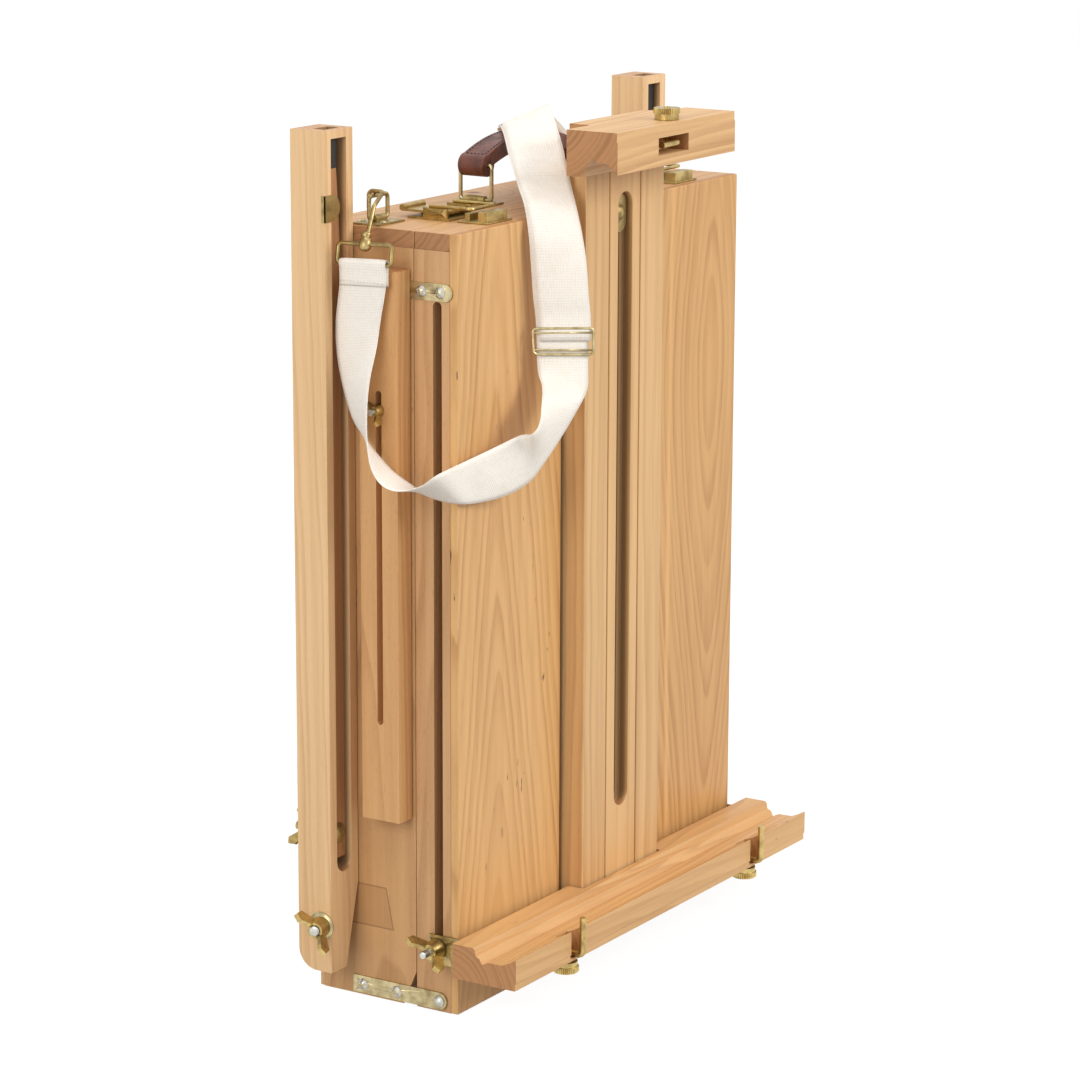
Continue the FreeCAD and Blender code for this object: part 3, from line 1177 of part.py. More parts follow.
def rear_leg_parts():
    half = S.rear_leg_width / 2
    centre_y = REAR_FRONT + S.rear_leg_depth / 2
    blank = box("rear_leg_blank", -half, half, REAR_FRONT, REAR_BACK, S.leg_pivot_rise, REAR_HEAD)
    round_end = rod("rear_leg_round", "x", -half, centre_y, S.leg_pivot_rise, S.rear_leg_depth / 2,
                    S.rear_leg_width)
    bore = rod("rear_leg_bore", "x", -half - 1, centre_y, S.leg_pivot_rise, 3.1, S.rear_leg_width + 2)
    groove = S.leg_channel / 2
    channel = box("rear_channel", -groove, groove, REAR_BACK - 12, REAR_BACK + 1, S.leg_channel_foot,
                  REAR_HEAD + 1)
    way = slot("rear_slot_cut", "y", length(0), REAR_FRONT - 1, S.leg_bolt_rise, S.leg_bolt + 0.6,
               REAR_HEAD - S.rear_slot_headroom - S.leg_bolt_rise, S.rear_leg_depth)
    head_way = slot("rear_head_cut", "y", length(0), REAR_FRONT - 1, S.leg_bolt_rise, length(13.0),
                    REAR_HEAD - S.rear_slot_headroom - S.leg_bolt_rise, length(5.0))
    cutter = fused("rear_cutter", [way, head_way])
    leg = cut("leg_upper_rear", fused("rear_leg_whole", [blank, round_end]), [bore, channel, cutter])
    node(leg, "leg_upper_rear")
    front = REAR_BACK - 11.7
    back = REAR_BACK - 2.5
    slat_half = groove - S.running_gap
    foot = S.leg_channel_foot + 3
    tip_foot = REAR_HEAD - S.tip_rise
    slat = box("rear_slat", -slat_half, slat_half, front, back, foot, tip_foot)
    tip = box("rear_tip", -slat_half, slat_half, front, back, tip_foot, REAR_HEAD - 2)
    bolt = rod("rear_bolt", "y", 0, REAR_FRONT + 0.6, S.leg_bolt_rise, S.leg_bolt / 2,
               S.rear_leg_depth + 8)
    bolt_head = rod("rear_bolt_head", "y", 0, REAR_FRONT + 0.6, S.leg_bolt_rise, 6.0, 3.0)
    whole = fused("rear_bolt_whole", [bolt, bolt_head])
    bored = cut("rear_slat_bored", slat, [whole])
    nut = wing_nut("rear_wing_nut", point(0, back + 0.4, S.leg_bolt_rise), Vector(0, 1, 0),
                   Vector(1, 0, 0), S.leg_bolt, 1.1)
    node(group("leg_lower_rear", [bored, tip, whole]), "leg_lower_rear")
    node(nut, "leg_slide_nut_rear")


def build():
    case_parts()
    pivot_parts()
    drawer_parts()
    latch_parts()
    handle_parts()
    strap_fitting_parts()
    strap_parts()
    lid_parts()
    mast_parts()
    tray_parts()
    stay_parts()
    side_leg_parts()
    rear_leg_parts()
    DOC.recompute()


def check_and_write():
    """Every object is sound before anything is written."""
    for thing in DOC.Objects:
        if "Invalid" in thing.State or "Error" in thing.State:
            raise RuntimeError(f"{thing.Name} failed: {thing.State}")
    os.makedirs("parts", exist_ok=True)
    for piece in NODES:
        shape = piece.Shape
        if shape.isNull() or not shape.isValid():
            raise RuntimeError(f"{piece.Label} has no sound shape")
        if shape.Volume <= 0:
            raise RuntimeError(f"{piece.Label} has no volume")
    for piece in NODES:
        piece.Shape.exportStep(os.path.join("parts", piece.Label + ".step"))
        print(piece.Label, len(piece.Shape.Solids), round(piece.Shape.Volume, 1))


build()
check_and_write()
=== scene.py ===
import math
import random

import bpy
from mathutils import Matrix, Vector
from mathutils.bvhtree import BVHTree


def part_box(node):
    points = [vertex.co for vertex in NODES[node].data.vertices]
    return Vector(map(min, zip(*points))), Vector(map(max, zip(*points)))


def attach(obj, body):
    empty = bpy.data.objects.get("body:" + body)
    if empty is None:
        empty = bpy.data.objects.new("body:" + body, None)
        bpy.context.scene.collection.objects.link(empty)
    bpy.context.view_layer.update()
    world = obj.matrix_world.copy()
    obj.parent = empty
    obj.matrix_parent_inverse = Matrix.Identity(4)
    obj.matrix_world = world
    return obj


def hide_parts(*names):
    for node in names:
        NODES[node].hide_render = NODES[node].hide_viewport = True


# The looks of a box easel, closed and standing on its hinge end. Metres, in the CAD model's frame.

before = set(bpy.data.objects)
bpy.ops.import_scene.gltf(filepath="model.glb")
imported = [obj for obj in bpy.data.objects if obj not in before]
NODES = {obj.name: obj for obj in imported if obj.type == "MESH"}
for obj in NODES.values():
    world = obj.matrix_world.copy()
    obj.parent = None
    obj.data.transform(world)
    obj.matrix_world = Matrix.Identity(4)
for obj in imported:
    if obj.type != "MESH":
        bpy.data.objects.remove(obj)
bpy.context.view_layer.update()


# Colours and shader building

def srgb(red, green, blue):
    """A colour as seen on a screen, 0 to 255, as linear values."""
    def linear(value):
        value /= 255
        return value / 12.92 if value <= 0.04045 else ((value + 0.055) / 1.055) ** 2.4
    return (linear(red), linear(green), linear(blue), 1.0)


class Shader:
    """A material whose nodes are added one by one."""

    def __init__(self, name):
        self.material = bpy.data.materials.new(name)
        self.material.use_nodes = True
        self.tree = self.material.node_tree
        self.tree.nodes.clear()
        self.output = self.tree.nodes.new("ShaderNodeOutputMaterial")
        self.surface = self.tree.nodes.new("ShaderNodeBsdfPrincipled")
        self.tree.links.new(self.surface.outputs[0], self.output.inputs[0])

    def add(self, kind, inputs=(), **settings):
        """A node with its settings; each input is a plain value or another node's output."""
        made = self.tree.nodes.new("ShaderNode" + kind)
        for name, value in settings.items():
            setattr(made, name, value)
        for name, value in dict(inputs).items():
            if isinstance(value, bpy.types.NodeSocket):
                self.tree.links.new(value, made.inputs[name])
            else:
                made.inputs[name].default_value = value
        return made

    def math(self, operation, first, second=0.0, clamp=False):
        return self.add("Math", {0: first, 1: second}, operation=operation, use_clamp=clamp).outputs[0]

    def noise(self, vector, scale, detail=3.0, rough=0.55):
        made = self.add("TexNoise", {"Vector": vector, "Scale": scale, "Detail": detail, "Roughness": rough})
        return made.outputs["Fac"]

    def stretched(self, vector, x, y, z):
        """Coordinates scaled by their own amount on each axis."""
        return self.add("Mapping", {"Vector": vector, "Scale": (x, y, z)}).outputs[0]

    def blend(self, share, first, second, kind="MIX"):
        made = self.add("Mix", data_type="RGBA", blend_type=kind)
        for name, value in (("Factor_Float", share), ("A_Color", first), ("B_Color", second)):
            socket = next(s for s in made.inputs if s.identifier == name)
            if isinstance(value, bpy.types.NodeSocket):
                self.tree.links.new(value, socket)
            else:
                socket.default_value = value
        return next(s for s in made.outputs if s.identifier == "Result_Color")

    def between(self, value, low, high, out_low=0.0, out_high=1.0, smooth=True):
        """The value moved from one range to another, held at its ends."""
        made = self.add("MapRange", {"Value": value, "From Min": low, "From Max": high,
                                     "To Min": out_low, "To Max": out_high},
                        interpolation_type="SMOOTHSTEP" if smooth else "LINEAR")
        return made.outputs[0]

    def bump(self, height, strength, distance):
        return self.add("Bump", {"Height": height, "Strength": strength, "Distance": distance}).outputs[0]

    def finish(self, **inputs):
        for name, value in inputs.items():
            name = name.replace("_", " ")
            if isinstance(value, bpy.types.NodeSocket):
                self.tree.links.new(value, self.surface.inputs[name])
            else:
                self.surface.inputs[name].default_value = value
        return self.material


def wood(name, pale, dark, grain="z", pith=(0.0, 0.08), middle=0.3, lean=0.0, ring=0.0045, contrast=0.5,
         fleck=0.0, pore=0.3, seed=0.0, rough=0.46, taper=0.0, apex=-1.0, blunt=0.02, marks=0.0, stripe=None,
         knot=None, channel_shade=None, block=False, shadow_gap=False):
    """Sawn wood: rings round a pith line. They taper away from the apex, so that a flat face cuts them as arches."""
    s = Shader(name)
    place = s.add("TexCoord")
    split = s.add("SeparateXYZ", {0: place.outputs["Object"]})
    true_face = s.add("NewGeometry").outputs["True Normal"]
    own_face = s.add("VectorTransform", {0: true_face}, vector_type="NORMAL", convert_from="WORLD",
                     convert_to="OBJECT").outputs[0]
    facing = s.add("SeparateXYZ", {0: own_face})
    order = {"z": "XYZ", "x": "ZYX", "y": "XZY"}[grain]
    across, through, along = (split.outputs[axis] for axis in order)
    local = s.add("CombineXYZ", {0: across, 1: through, 2: along}).outputs[0]
    local = s.add("Mapping", {"Vector": local, "Location": (seed * 0.37, seed * 0.61, seed * 1.3)}).outputs[0]
    wander = s.math("SUBTRACT", s.noise(s.stretched(local, 7, 7, 2.2), 1.0, 3.0), 0.5)
    wobble = s.math("SUBTRACT", s.noise(s.stretched(local, 45, 45, 5), 1.0, 2.0), 0.5)
    u = s.math("ADD", s.math("SUBTRACT", across, pith[0]), s.math("MULTIPLY", wander, 0.026))
    v = s.math("ADD", s.math("SUBTRACT", through, pith[1]),
               s.math("MULTIPLY", s.math("SUBTRACT", along, middle), lean))
    radius = s.math("SQRT", s.math("ADD", s.math("MULTIPLY", u, u), s.math("MULTIPLY", v, v)))
    away = s.math("SUBTRACT", along, apex)
    climb = s.math("SQRT", s.math("ADD", s.math("MULTIPLY", away, away), blunt * blunt))
    radius = s.math("ADD", radius, s.math("MULTIPLY", climb, taper))
    radius = s.math("ADD", radius, s.math("MULTIPLY", wobble, 0.003))
    if knot:
        gap = s.add("VectorMath", {0: place.outputs["Object"], 1: knot}, operation="DISTANCE").outputs["Value"]
        radius = s.math("ADD", radius, s.between(gap, 0.0, 0.05, 0.03, 0.0))
    count = s.math("DIVIDE", radius, ring)
    spacing = s.noise(s.add("CombineXYZ", {0: s.math("MULTIPLY", count, 0.55), 1: seed}).outputs[0], 1.0, 2.0)
    count = s.math("ADD", count, s.math("MULTIPLY", spacing, 2.2))
    phase = s.math("FRACT", count)
    rings = s.math("MULTIPLY", s.between(phase, 0.2, 0.88), s.between(phase, 0.88, 1.0, 1.0, 0.0))
    year = s.noise(s.add("CombineXYZ", {0: s.math("FLOOR", count), 1: seed * 3.1}).outputs[0], 1.7, 0.0)
    rings = s.math("MULTIPLY", rings, s.between(year, 0.3, 0.7, 0.3, 1.0))
    fibres = s.noise(s.stretched(local, 900, 900, 14), 1.0, 4.0, 0.65)
    streaks = s.noise(s.stretched(local, 170, 170, 3), 1.0, 4.0, 0.65)
    pores = s.noise(s.stretched(local, 2200, 2200, 60), 1.0, 2.0, 0.6)
    flecks = s.between(s.noise(s.stretched(local, 1500, 1500, 230), 1.0, 1.0, 0.4), 0.62, 0.74)
    clouds = s.noise(s.stretched(local, 14, 14, 2.4), 1.0, 3.0)
    shade = s.math("MULTIPLY", rings, contrast)
    shade = s.math("ADD", shade, s.math("MULTIPLY", s.math("SUBTRACT", fibres, 0.5), 0.6 * pore))
    shade = s.math("ADD", shade, s.math("MULTIPLY", s.math("SUBTRACT", streaks, 0.45), 0.75))
    shade = s.math("ADD", shade, s.math("MULTIPLY", s.math("SUBTRACT", clouds, 0.4), 0.7))
    pore_marks = s.math("MULTIPLY", s.between(pores, 0.58, 0.7), s.math("ADD", s.math("MULTIPLY", rings, 0.7), 0.3))
    shade = s.math("ADD", shade, s.math("MULTIPLY", pore_marks, 0.5 * pore))
    shade = s.math("ADD", shade, s.math("MULTIPLY", flecks, fleck), clamp=True)
    colour = s.blend(shade, pale, dark)
    # Dark colour for real marks and knots, and for the painted shade in channels and along the block's rim.
    dark_mark_and_shade = tuple(c * 0.3 for c in dark[:3]) + (1.0,)
    if stripe:
        gap = s.math("ABSOLUTE", s.math("SUBTRACT", u, stripe - pith[0]))
        colour = s.blend(s.between(gap, 0.001, 0.004, 0.55, 0.0), colour, tuple(min(1.0, c * 1.25) for c in pale[:3]) + (1.0,))
    if marks:
        spots = s.noise(s.stretched(local, 210, 210, 55), 1.0, 2.0, 0.5)
        zones = s.between(s.noise(s.stretched(local, 20, 20, 9), 1.0, 1.0), 0.55, 0.65)
        colour = s.blend(s.math("MULTIPLY", s.math("MULTIPLY", s.between(spots, 0.66, 0.72), zones), marks), colour, dark_mark_and_shade)
    if knot:
        colour = s.blend(s.between(gap, 0.0022, 0.0075, 0.85, 0.0), colour, dark_mark_and_shade)
    # Painted shade: darker towards the back of a groove or channel.
    if channel_shade:
        mid, half, start, depth = channel_shade
        inside = s.math("LESS_THAN", s.math("ABSOLUTE", s.math("SUBTRACT", s.math("ABSOLUTE", split.outputs["X"]), mid)), half)
        deep = s.between(split.outputs["Y"], start, start + depth, 0.0, 0.72)
        colour = s.blend(s.math("MULTIPLY", inside, deep), colour, dark_mark_and_shade)
    if shadow_gap:
        near = s.math("ABSOLUTE", split.outputs["X"])
        colour = s.blend(s.between(near, 0.0572, 0.0582, 0.93, 0.0), colour, tuple(c * 0.12 for c in dark[:3]) + (1.0,))
    # A wedge block painted on the case side: its inside a little darker, and a thin rim of painted shade along its
    # outline.
    if block:
        slant = s.math("MULTIPLY", s.math("SUBTRACT", split.outputs["Z"], 0.052), 0.2)
        edge = s.math("SUBTRACT", s.math("SUBTRACT", split.outputs["Y"], -0.0053), slant)
        low = s.math("SUBTRACT", split.outputs["Z"], 0.052)
        high = s.math("SUBTRACT", 0.083, split.outputs["Z"])
        inner = s.math("MINIMUM", s.math("MINIMUM", edge, low), high)
        inset = s.between(inner, 0.0, 0.0004)
        rim = s.math("MULTIPLY", inset, s.between(inner, 0.0006, 0.0016, 1.0, 0.0))
        colour = s.blend(s.math("MULTIPLY", inset, 0.32), colour, dark)
        colour = s.blend(s.math("MULTIPLY", rim, 0.45), colour, dark_mark_and_shade)
    end = s.between(s.math("ABSOLUTE", facing.outputs[order[2]]), 0.6, 0.9)
    saw = s.noise(s.stretched(local, 500, 500, 500), 1.0, 3.0, 0.7)
    end_shade = s.math("ADD", s.math("MULTIPLY", rings, 0.6), s.math("MULTIPLY", saw, 0.35), clamp=True)
    pinkish = tuple(c * k for c, k in zip(dark[:3], (1.12, 1.08, 1.3))) + (1.0,)
    end_colour = s.blend(end_shade, pinkish, tuple(c * 0.62 for c in dark[:3]) + (1.0,))
    colour = s.blend(s.math("MULTIPLY", end, 0.85), colour, end_colour)
    height = s.math("ADD", s.math("MULTIPLY", rings, 0.4), s.math("MULTIPLY", fibres, 0.6))
    gloss = s.between(fibres, 0.2, 0.8, rough - 0.06, rough + 0.1, smooth=False)
    return s.finish(Base_Color=colour, Roughness=gloss, Normal=s.bump(height, 0.25, 0.0004),
                    Specular_IOR_Level=0.4)


def metal(name, colour, shade, rough=0.3, spots=0.3, scale=260.0):
    """Plated metal: a tarnish that wanders over it and fine scratches."""
    s = Shader(name)
    place = s.add("TexCoord").outputs["Object"]
    tarnish = s.noise(place, scale * 0.4, 5.0, 0.65)
    scratch = s.noise(s.stretched(place, scale * 6, scale * 0.7, scale * 2), 1.0, 3.0, 0.6)
    colour = s.blend(s.between(tarnish, 0.45 - spots * 0.3, 0.75), colour, shade)
    gloss = s.math("ADD", s.between(tarnish, 0.3, 0.75, rough, rough + 0.22), s.math("MULTIPLY", scratch, 0.08))
    return s.finish(Base_Color=colour, Metallic=1.0, Roughness=gloss, Normal=s.bump(scratch, 0.12, 0.0002))


def leather(name, colour, shade):
    """Smooth leather: a fine pebble, creases and worn, lighter spots."""
    s = Shader(name)
    place = s.add("TexCoord").outputs["Object"]
    cells = s.add("TexVoronoi", {"Vector": place, "Scale": 1100.0}, feature="DISTANCE_TO_EDGE").outputs[0]
    pebble = s.between(cells, 0.0, 0.25)
    crease = s.noise(s.stretched(place, 60, 240, 240), 1.0, 4.0, 0.6)
    wear = s.noise(place, 90.0, 3.0)
    base = s.blend(s.between(wear, 0.35, 0.7), colour, shade)
    base = s.blend(s.math("MULTIPLY", s.math("SUBTRACT", 1.0, pebble), 0.5), base, tuple(c * 0.4 for c in colour[:3]) + (1.0,))
    height = s.math("ADD", s.math("MULTIPLY", pebble, 0.5), crease)
    return s.finish(Base_Color=base, Roughness=s.between(wear, 0.3, 0.8, 0.32, 0.5),
                    Normal=s.bump(height, 0.5, 0.0003), Specular_IOR_Level=0.5)


def webbing(name, colour, shade):
    """Heavy cotton webbing: a close weave along and across, slubs, and a faint stain."""
    s = Shader(name)
    place = s.add("UVMap").outputs[0]
    split = s.add("SeparateXYZ", {0: place})
    warp = s.math("ABSOLUTE", s.math("SINE", s.math("MULTIPLY", split.outputs["X"], math.pi / 0.0020)))
    weft = s.math("ABSOLUTE", s.math("SINE", s.math("MULTIPLY", split.outputs["Y"], math.pi / 0.0019)))
    lines = s.math("MAXIMUM", s.between(warp, 0.0, 0.5, 1.0, 0.0), s.between(weft, 0.0, 0.55, 1.0, 0.0))
    slub = s.noise(s.stretched(place, 900, 160, 1), 1.0, 4.0, 0.7)
    slub_across = s.noise(s.stretched(place, 140, 1100, 1), 1.0, 3.0, 0.7)
    stain = s.noise(place, 28.0, 4.0, 0.6)
    tone = s.math("MULTIPLY", lines, s.between(slub_across, 0.3, 0.65, 0.08, 0.45))
    tone = s.math("ADD", tone, s.math("MULTIPLY", s.between(slub, 0.5, 0.75), 0.35))
    tone = s.math("ADD", tone, s.math("MULTIPLY", s.between(stain, 0.45, 0.75), 0.25), clamp=True)
    ribs = s.math("MULTIPLY", s.math("ADD", warp, weft), 0.35)
    height = s.math("ADD", ribs, s.math("MULTIPLY", s.math("ADD", slub, slub_across), 0.5))
    return s.finish(Base_Color=s.blend(tone, colour, shade), Roughness=0.9,
                    Normal=s.bump(height, 0.55, 0.0005), Specular_IOR_Level=0.2, Sheen_Weight=0.15)


def plain(name, colour, shade, rough, scale=500.0, strength=0.3):
    """Rubber, thread or the painted shade in screw recesses: a slight mottle and a fine tooth."""
    s = Shader(name)
    place = s.add("TexCoord").outputs["Object"]
    mottle = s.noise(place, scale, 4.0, 0.6)
    return s.finish(Base_Color=s.blend(s.between(mottle, 0.3, 0.7), colour, shade), Roughness=rough,
                    Normal=s.bump(mottle, strength, 0.0003))


# Materials

BRASS = metal("bright_brass", srgb(204, 180, 118), srgb(140, 116, 68), 0.22, 0.45)
OLD_BRASS = metal("antique_brass", srgb(186, 164, 112), srgb(118, 100, 62), 0.3, 0.5)
PALE_BRASS = metal("pale_brass", srgb(204, 190, 148), srgb(146, 130, 92), 0.26, 0.45)
STEEL = metal("zinc_steel", srgb(206, 204, 196), srgb(150, 148, 140), 0.28, 0.3)
LEATHER = leather("grip_leather", srgb(124, 62, 42), srgb(84, 40, 28))
CLOTH = webbing("strap_webbing", srgb(252, 245, 235), srgb(222, 208, 186))
THREAD = plain("stitch_thread", srgb(238, 230, 214), srgb(206, 196, 174), 0.85, 3000.0)
DARK_THREAD = plain("leather_thread", srgb(58, 30, 22), srgb(38, 20, 15), 0.7, 3000.0)
RUBBER = plain("rubber_tip", srgb(44, 42, 40), srgb(26, 25, 24), 0.62, 900.0)
# Painted shade for the cross recesses in screw heads.
RECESS_SHADE = plain("screw_recess_painted_shade", srgb(40, 36, 30), srgb(24, 22, 18), 0.6, 1500.0)
PANEL = srgb(226, 178, 117)
PANEL_DARK = srgb(184, 130, 74)
SIDE_PALE = srgb(213, 166, 114)
SIDE_DARK = srgb(166, 118, 72)
LEG = srgb(238, 198, 148)
LEG_DARK = srgb(202, 154, 102)
SIDE = wood("beech_side", SIDE_PALE, SIDE_DARK, pith=(-0.1, 0.0), ring=0.007, contrast=0.45, fleck=0.3, pore=0.65,
            seed=1.0, taper=0.05, marks=0.6, block=True)
SIDE_RIGHT = wood("beech_side_right", SIDE_PALE, SIDE_DARK, pith=(0.1, -0.01), ring=0.007, contrast=0.45, fleck=0.3,
                  pore=0.65, seed=2.0, taper=0.05, marks=0.6, block=True)
LID_SIDE = wood("beech_lid_side", srgb(212, 166, 118), SIDE_DARK, pith=(-0.12, -0.06), ring=0.005, contrast=0.35,
                fleck=0.25, pore=0.4, seed=3.0, taper=0.02)
LID_SIDE_RIGHT = wood("beech_lid_side_right", srgb(212, 166, 118), SIDE_DARK, pith=(0.12, -0.03), ring=0.006,
                      contrast=0.35, fleck=0.25, pore=0.4, seed=4.0, taper=0.02)
CROSS = wood("beech_cross_board", SIDE_PALE, SIDE_DARK, grain="x", pith=(0.6, 0.03), middle=0.0, ring=0.0045,
             contrast=0.5, fleck=0.2, pore=0.4, seed=5.0, taper=0.04, marks=0.4, knot=(-0.008, 0.047, 0.55))
LEFT_PANEL = wood("elm_panel_left", PANEL, PANEL_DARK, pith=(-0.138, -0.050), ring=0.0095, contrast=0.52, pore=0.9,
                  seed=6.0, rough=0.44, taper=0.13, marks=0.9, shadow_gap=True)
RIGHT_PANEL = wood("elm_panel_right", srgb(216, 167, 106), srgb(176, 122, 66), pith=(0.152, -0.048), ring=0.0080, contrast=0.52, pore=0.9,
                   seed=7.0, rough=0.44, taper=0.16, apex=0.41, blunt=0.05, stripe=0.093,
                   shadow_gap=True)
RAIL = wood("beech_rail", srgb(226, 184, 128), srgb(178, 124, 74), pith=(0.1, 0.1), ring=0.006, contrast=0.35,
            fleck=0.12, pore=0.4, seed=8.0)
MAST = wood("beech_mast", srgb(230, 187, 130), srgb(190, 138, 84), pith=(-0.06, 0.12), ring=0.005, contrast=0.35,
            fleck=0.15, pore=0.4, seed=9.0, channel_shade=(0.0, 0.012, -0.0757, 0.004))
CLAMP = wood("beech_clamp", srgb(226, 182, 126), srgb(180, 128, 78), grain="x", pith=(0.64, -0.05), middle=0.0,
             ring=0.0045, contrast=0.5, fleck=0.15, pore=0.4, seed=10.0, taper=0.03)
TRAY = wood("beech_tray", srgb(224, 178, 120), srgb(182, 128, 76), grain="x", pith=(0.02, -0.06), middle=0.0,
            ring=0.0045, contrast=0.45, fleck=0.1, pore=0.45, seed=11.0, taper=0.03, marks=0.4)
STAY = wood("beech_stay", srgb(220, 170, 114), srgb(180, 124, 74), pith=(-0.3, 0.02), ring=0.005, contrast=0.35,
            fleck=0.3, pore=0.4, seed=12.0)
SLAT = wood("beech_slat", srgb(210, 162, 112), srgb(172, 118, 74), pith=(-0.25, 0.0), ring=0.006, contrast=0.35,
            fleck=0.2, pore=0.4, seed=13.0)
LEG_WOOD = {name: wood(f"beech_leg_{name}", LEG, LEG_DARK, pith=(x, 0.12), ring=0.005, contrast=0.38, fleck=0.14,
                       pore=0.7, seed=seed, taper=0.02, channel_shade=(0.2077, 0.0094, 0.0252, 0.004))
            for name, x, seed in (("left", -0.3, 14.0), ("right", 0.3, 15.0), ("rear", 0.0, 16.0))}
INNER_LEG = wood("beech_inner_leg", srgb(190, 138, 92), srgb(146, 98, 60), pith=(0.2, 0.1), ring=0.005,
                 contrast=0.4, fleck=0.15, pore=0.35, seed=17.0)
PLY = wood("plywood", srgb(222, 184, 134), srgb(192, 146, 98), pith=(0.0, 0.04), ring=0.010, contrast=0.35,
           fleck=0.05, pore=0.4, seed=18.0, taper=0.12, apex=0.25)


def dress(name, material, bevel=0.0, segments=2):
    """Give a CAD node its material, and soften its sharp edges."""
    node = NODES[name]
    node.data.materials.clear()
    node.data.materials.append(material)
    if bevel:
        weld = node.modifiers.new("weld", "WELD")
        weld.merge_threshold = 0.00001
        soft = node.modifiers.new("soft_edges", "BEVEL")
        soft.width = bevel
        soft.segments = segments
        soft.limit_method = "ANGLE"
        soft.angle_limit = math.radians(40)
        even = node.modifiers.new("even_normals", "WEIGHTED_NORMAL")
        even.keep_sharp = False
    return node


def paint(name, material, inside):
    """Give another material to a node's faces whose centres pass a test."""
    data = NODES[name].data
    data.materials.append(material)
    slot = len(data.materials) - 1
    for face in data.polygons:
        if inside(face.center):
            face.material_index = slot


WOODS = {
    "case_side_left": SIDE, "case_side_right": SIDE_RIGHT, "case_rear_board": CROSS, "drawer_front": CROSS,
    "drawer_runners": SLAT, "drawer_walls": SLAT, "lid_side_left": LID_SIDE, "lid_side_right": LID_SIDE_RIGHT,
    "lid_top_board": CROSS, "lid_bottom_board": CROSS, "lid_panels": LEFT_PANEL, "mast_rails": RAIL,
    "mast_bar": MAST, "top_clamp": CLAMP, "tray": TRAY, "stay_arm_left": STAY, "stay_arm_right": STAY,
    "leg_upper_left": LEG_WOOD["left"], "leg_upper_right": LEG_WOOD["right"], "leg_upper_rear": LEG_WOOD["rear"],
    "underside_panel": PLY, "drawer_bottom": PLY, "drawer_dividers": PLY, "palette": PLY,
}
for node_name, look in WOODS.items():
    dress(node_name, look, 0.0009)
for side in ("left", "right"):
    dress(f"stay_slat_{side}", SLAT)
    paint(f"stay_slat_{side}", STEEL, lambda c: abs(c.z - 0.428) < 0.0023 and abs(c.y + 0.0065) < 0.0023)
for side in ("left", "right", "rear"):
    dress(f"leg_lower_{side}", INNER_LEG)
TIP_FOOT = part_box("leg_lower_left")[1].z - 0.0232
REAR_TIP_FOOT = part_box("leg_lower_rear")[1].z - 0.0212
for side, foot, head_y in (("left", TIP_FOOT, 0.0298), ("right", TIP_FOOT, 0.0298), ("rear", REAR_TIP_FOOT, 0.0)):
    name = f"leg_lower_{side}"
    paint(name, RUBBER, lambda c, foot=foot: c.z > foot)
    paint(name, OLD_BRASS if side != "rear" else STEEL,
          lambda c, y=head_y: abs(c.z - 0.123) < 0.0078 and (c.y < y or c.y > 0.0392 or abs(c.z - 0.123) < 0.0033)
          and not (c.y > y and abs(c.z - 0.123) > 0.0033))
dress("mast_clamp", MAST)
paint("mast_clamp", OLD_BRASS, lambda c: c.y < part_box("mast_clamp")[0].y + 0.0056 or c.y > -0.0294)

METALS = {
    "hinge_straps": PALE_BRASS, "side_pivots": STEEL, "rear_leg_bracket": OLD_BRASS, "latch_bases": BRASS,
    "latch_lever_left": BRASS, "latch_lever_right": BRASS, "latch_strikes": BRASS, "handle_plates": BRASS,
    "handle_ring_left": PALE_BRASS, "handle_ring_right": PALE_BRASS, "strap_eyes": OLD_BRASS, "snap_hooks": OLD_BRASS,
    "stay_brackets": PALE_BRASS, "lid_pivot_screws": STEEL, "top_hook": BRASS, "tray_hook_left": BRASS,
    "tray_hook_right": BRASS, "tray_brackets": OLD_BRASS, "tray_wing_nut_left": BRASS,
    "tray_wing_nut_right": BRASS, "stay_wing_nut_left": BRASS, "stay_wing_nut_right": BRASS,
    "leg_slide_nut_left": BRASS, "leg_slide_nut_right": BRASS, "leg_slide_nut_rear": BRASS,
    "leg_pivot_nut_left": BRASS, "leg_pivot_nut_right": BRASS,
}
for node_name, look in METALS.items():
    dress(node_name, look, 0.0003 if node_name.startswith(("latch", "hinge", "stay_br", "handle_pl", "tray_br")) else 0.0)
dress("handle_grip", LEATHER, 0.0022, 4)
paint("lid_panels", RIGHT_PANEL, lambda c: c.x > 0)


# Threaded bolts show beyond their nuts
paint("tray_brackets", STEEL, lambda c: abs(c.x) > 0.1935 and math.hypot(c.y + 0.043, c.z - 0.047) < 0.0036)
paint("side_pivots", STEEL, lambda c: abs(c.x) > 0.1995 and c.z < 0.08)


# Mesh building

def mesh_object(name, points, faces, material, smooth=True):
    """A new piece from its points and faces."""
    data = bpy.data.meshes.new(name)
    data.from_pydata([tuple(p) for p in points], [], faces)
    data.materials.append(material)
    for face in data.polygons:
        face.use_smooth = smooth
    data.update()
    piece = bpy.data.objects.new(name, data)
    bpy.context.scene.collection.objects.link(piece)
    return piece


def rounded(points, radius, closed, steps=5):
    """A line's corners turned into short arcs."""
    count = len(points)
    line = []
    for index, point in enumerate(points):
        if not closed and index in (0, count - 1):
            line.append(point)
            continue
        before, after = points[index - 1], points[(index + 1) % count]
        start = point + (before - point).normalized() * min(radius, (before - point).length * 0.45)
        end = point + (after - point).normalized() * min(radius, (after - point).length * 0.45)
        for step in range(steps + 1):
            t = step / steps
            line.append((start * (1 - t) + point * t) * (1 - t) + (point * (1 - t) + end * t) * t)
    return line


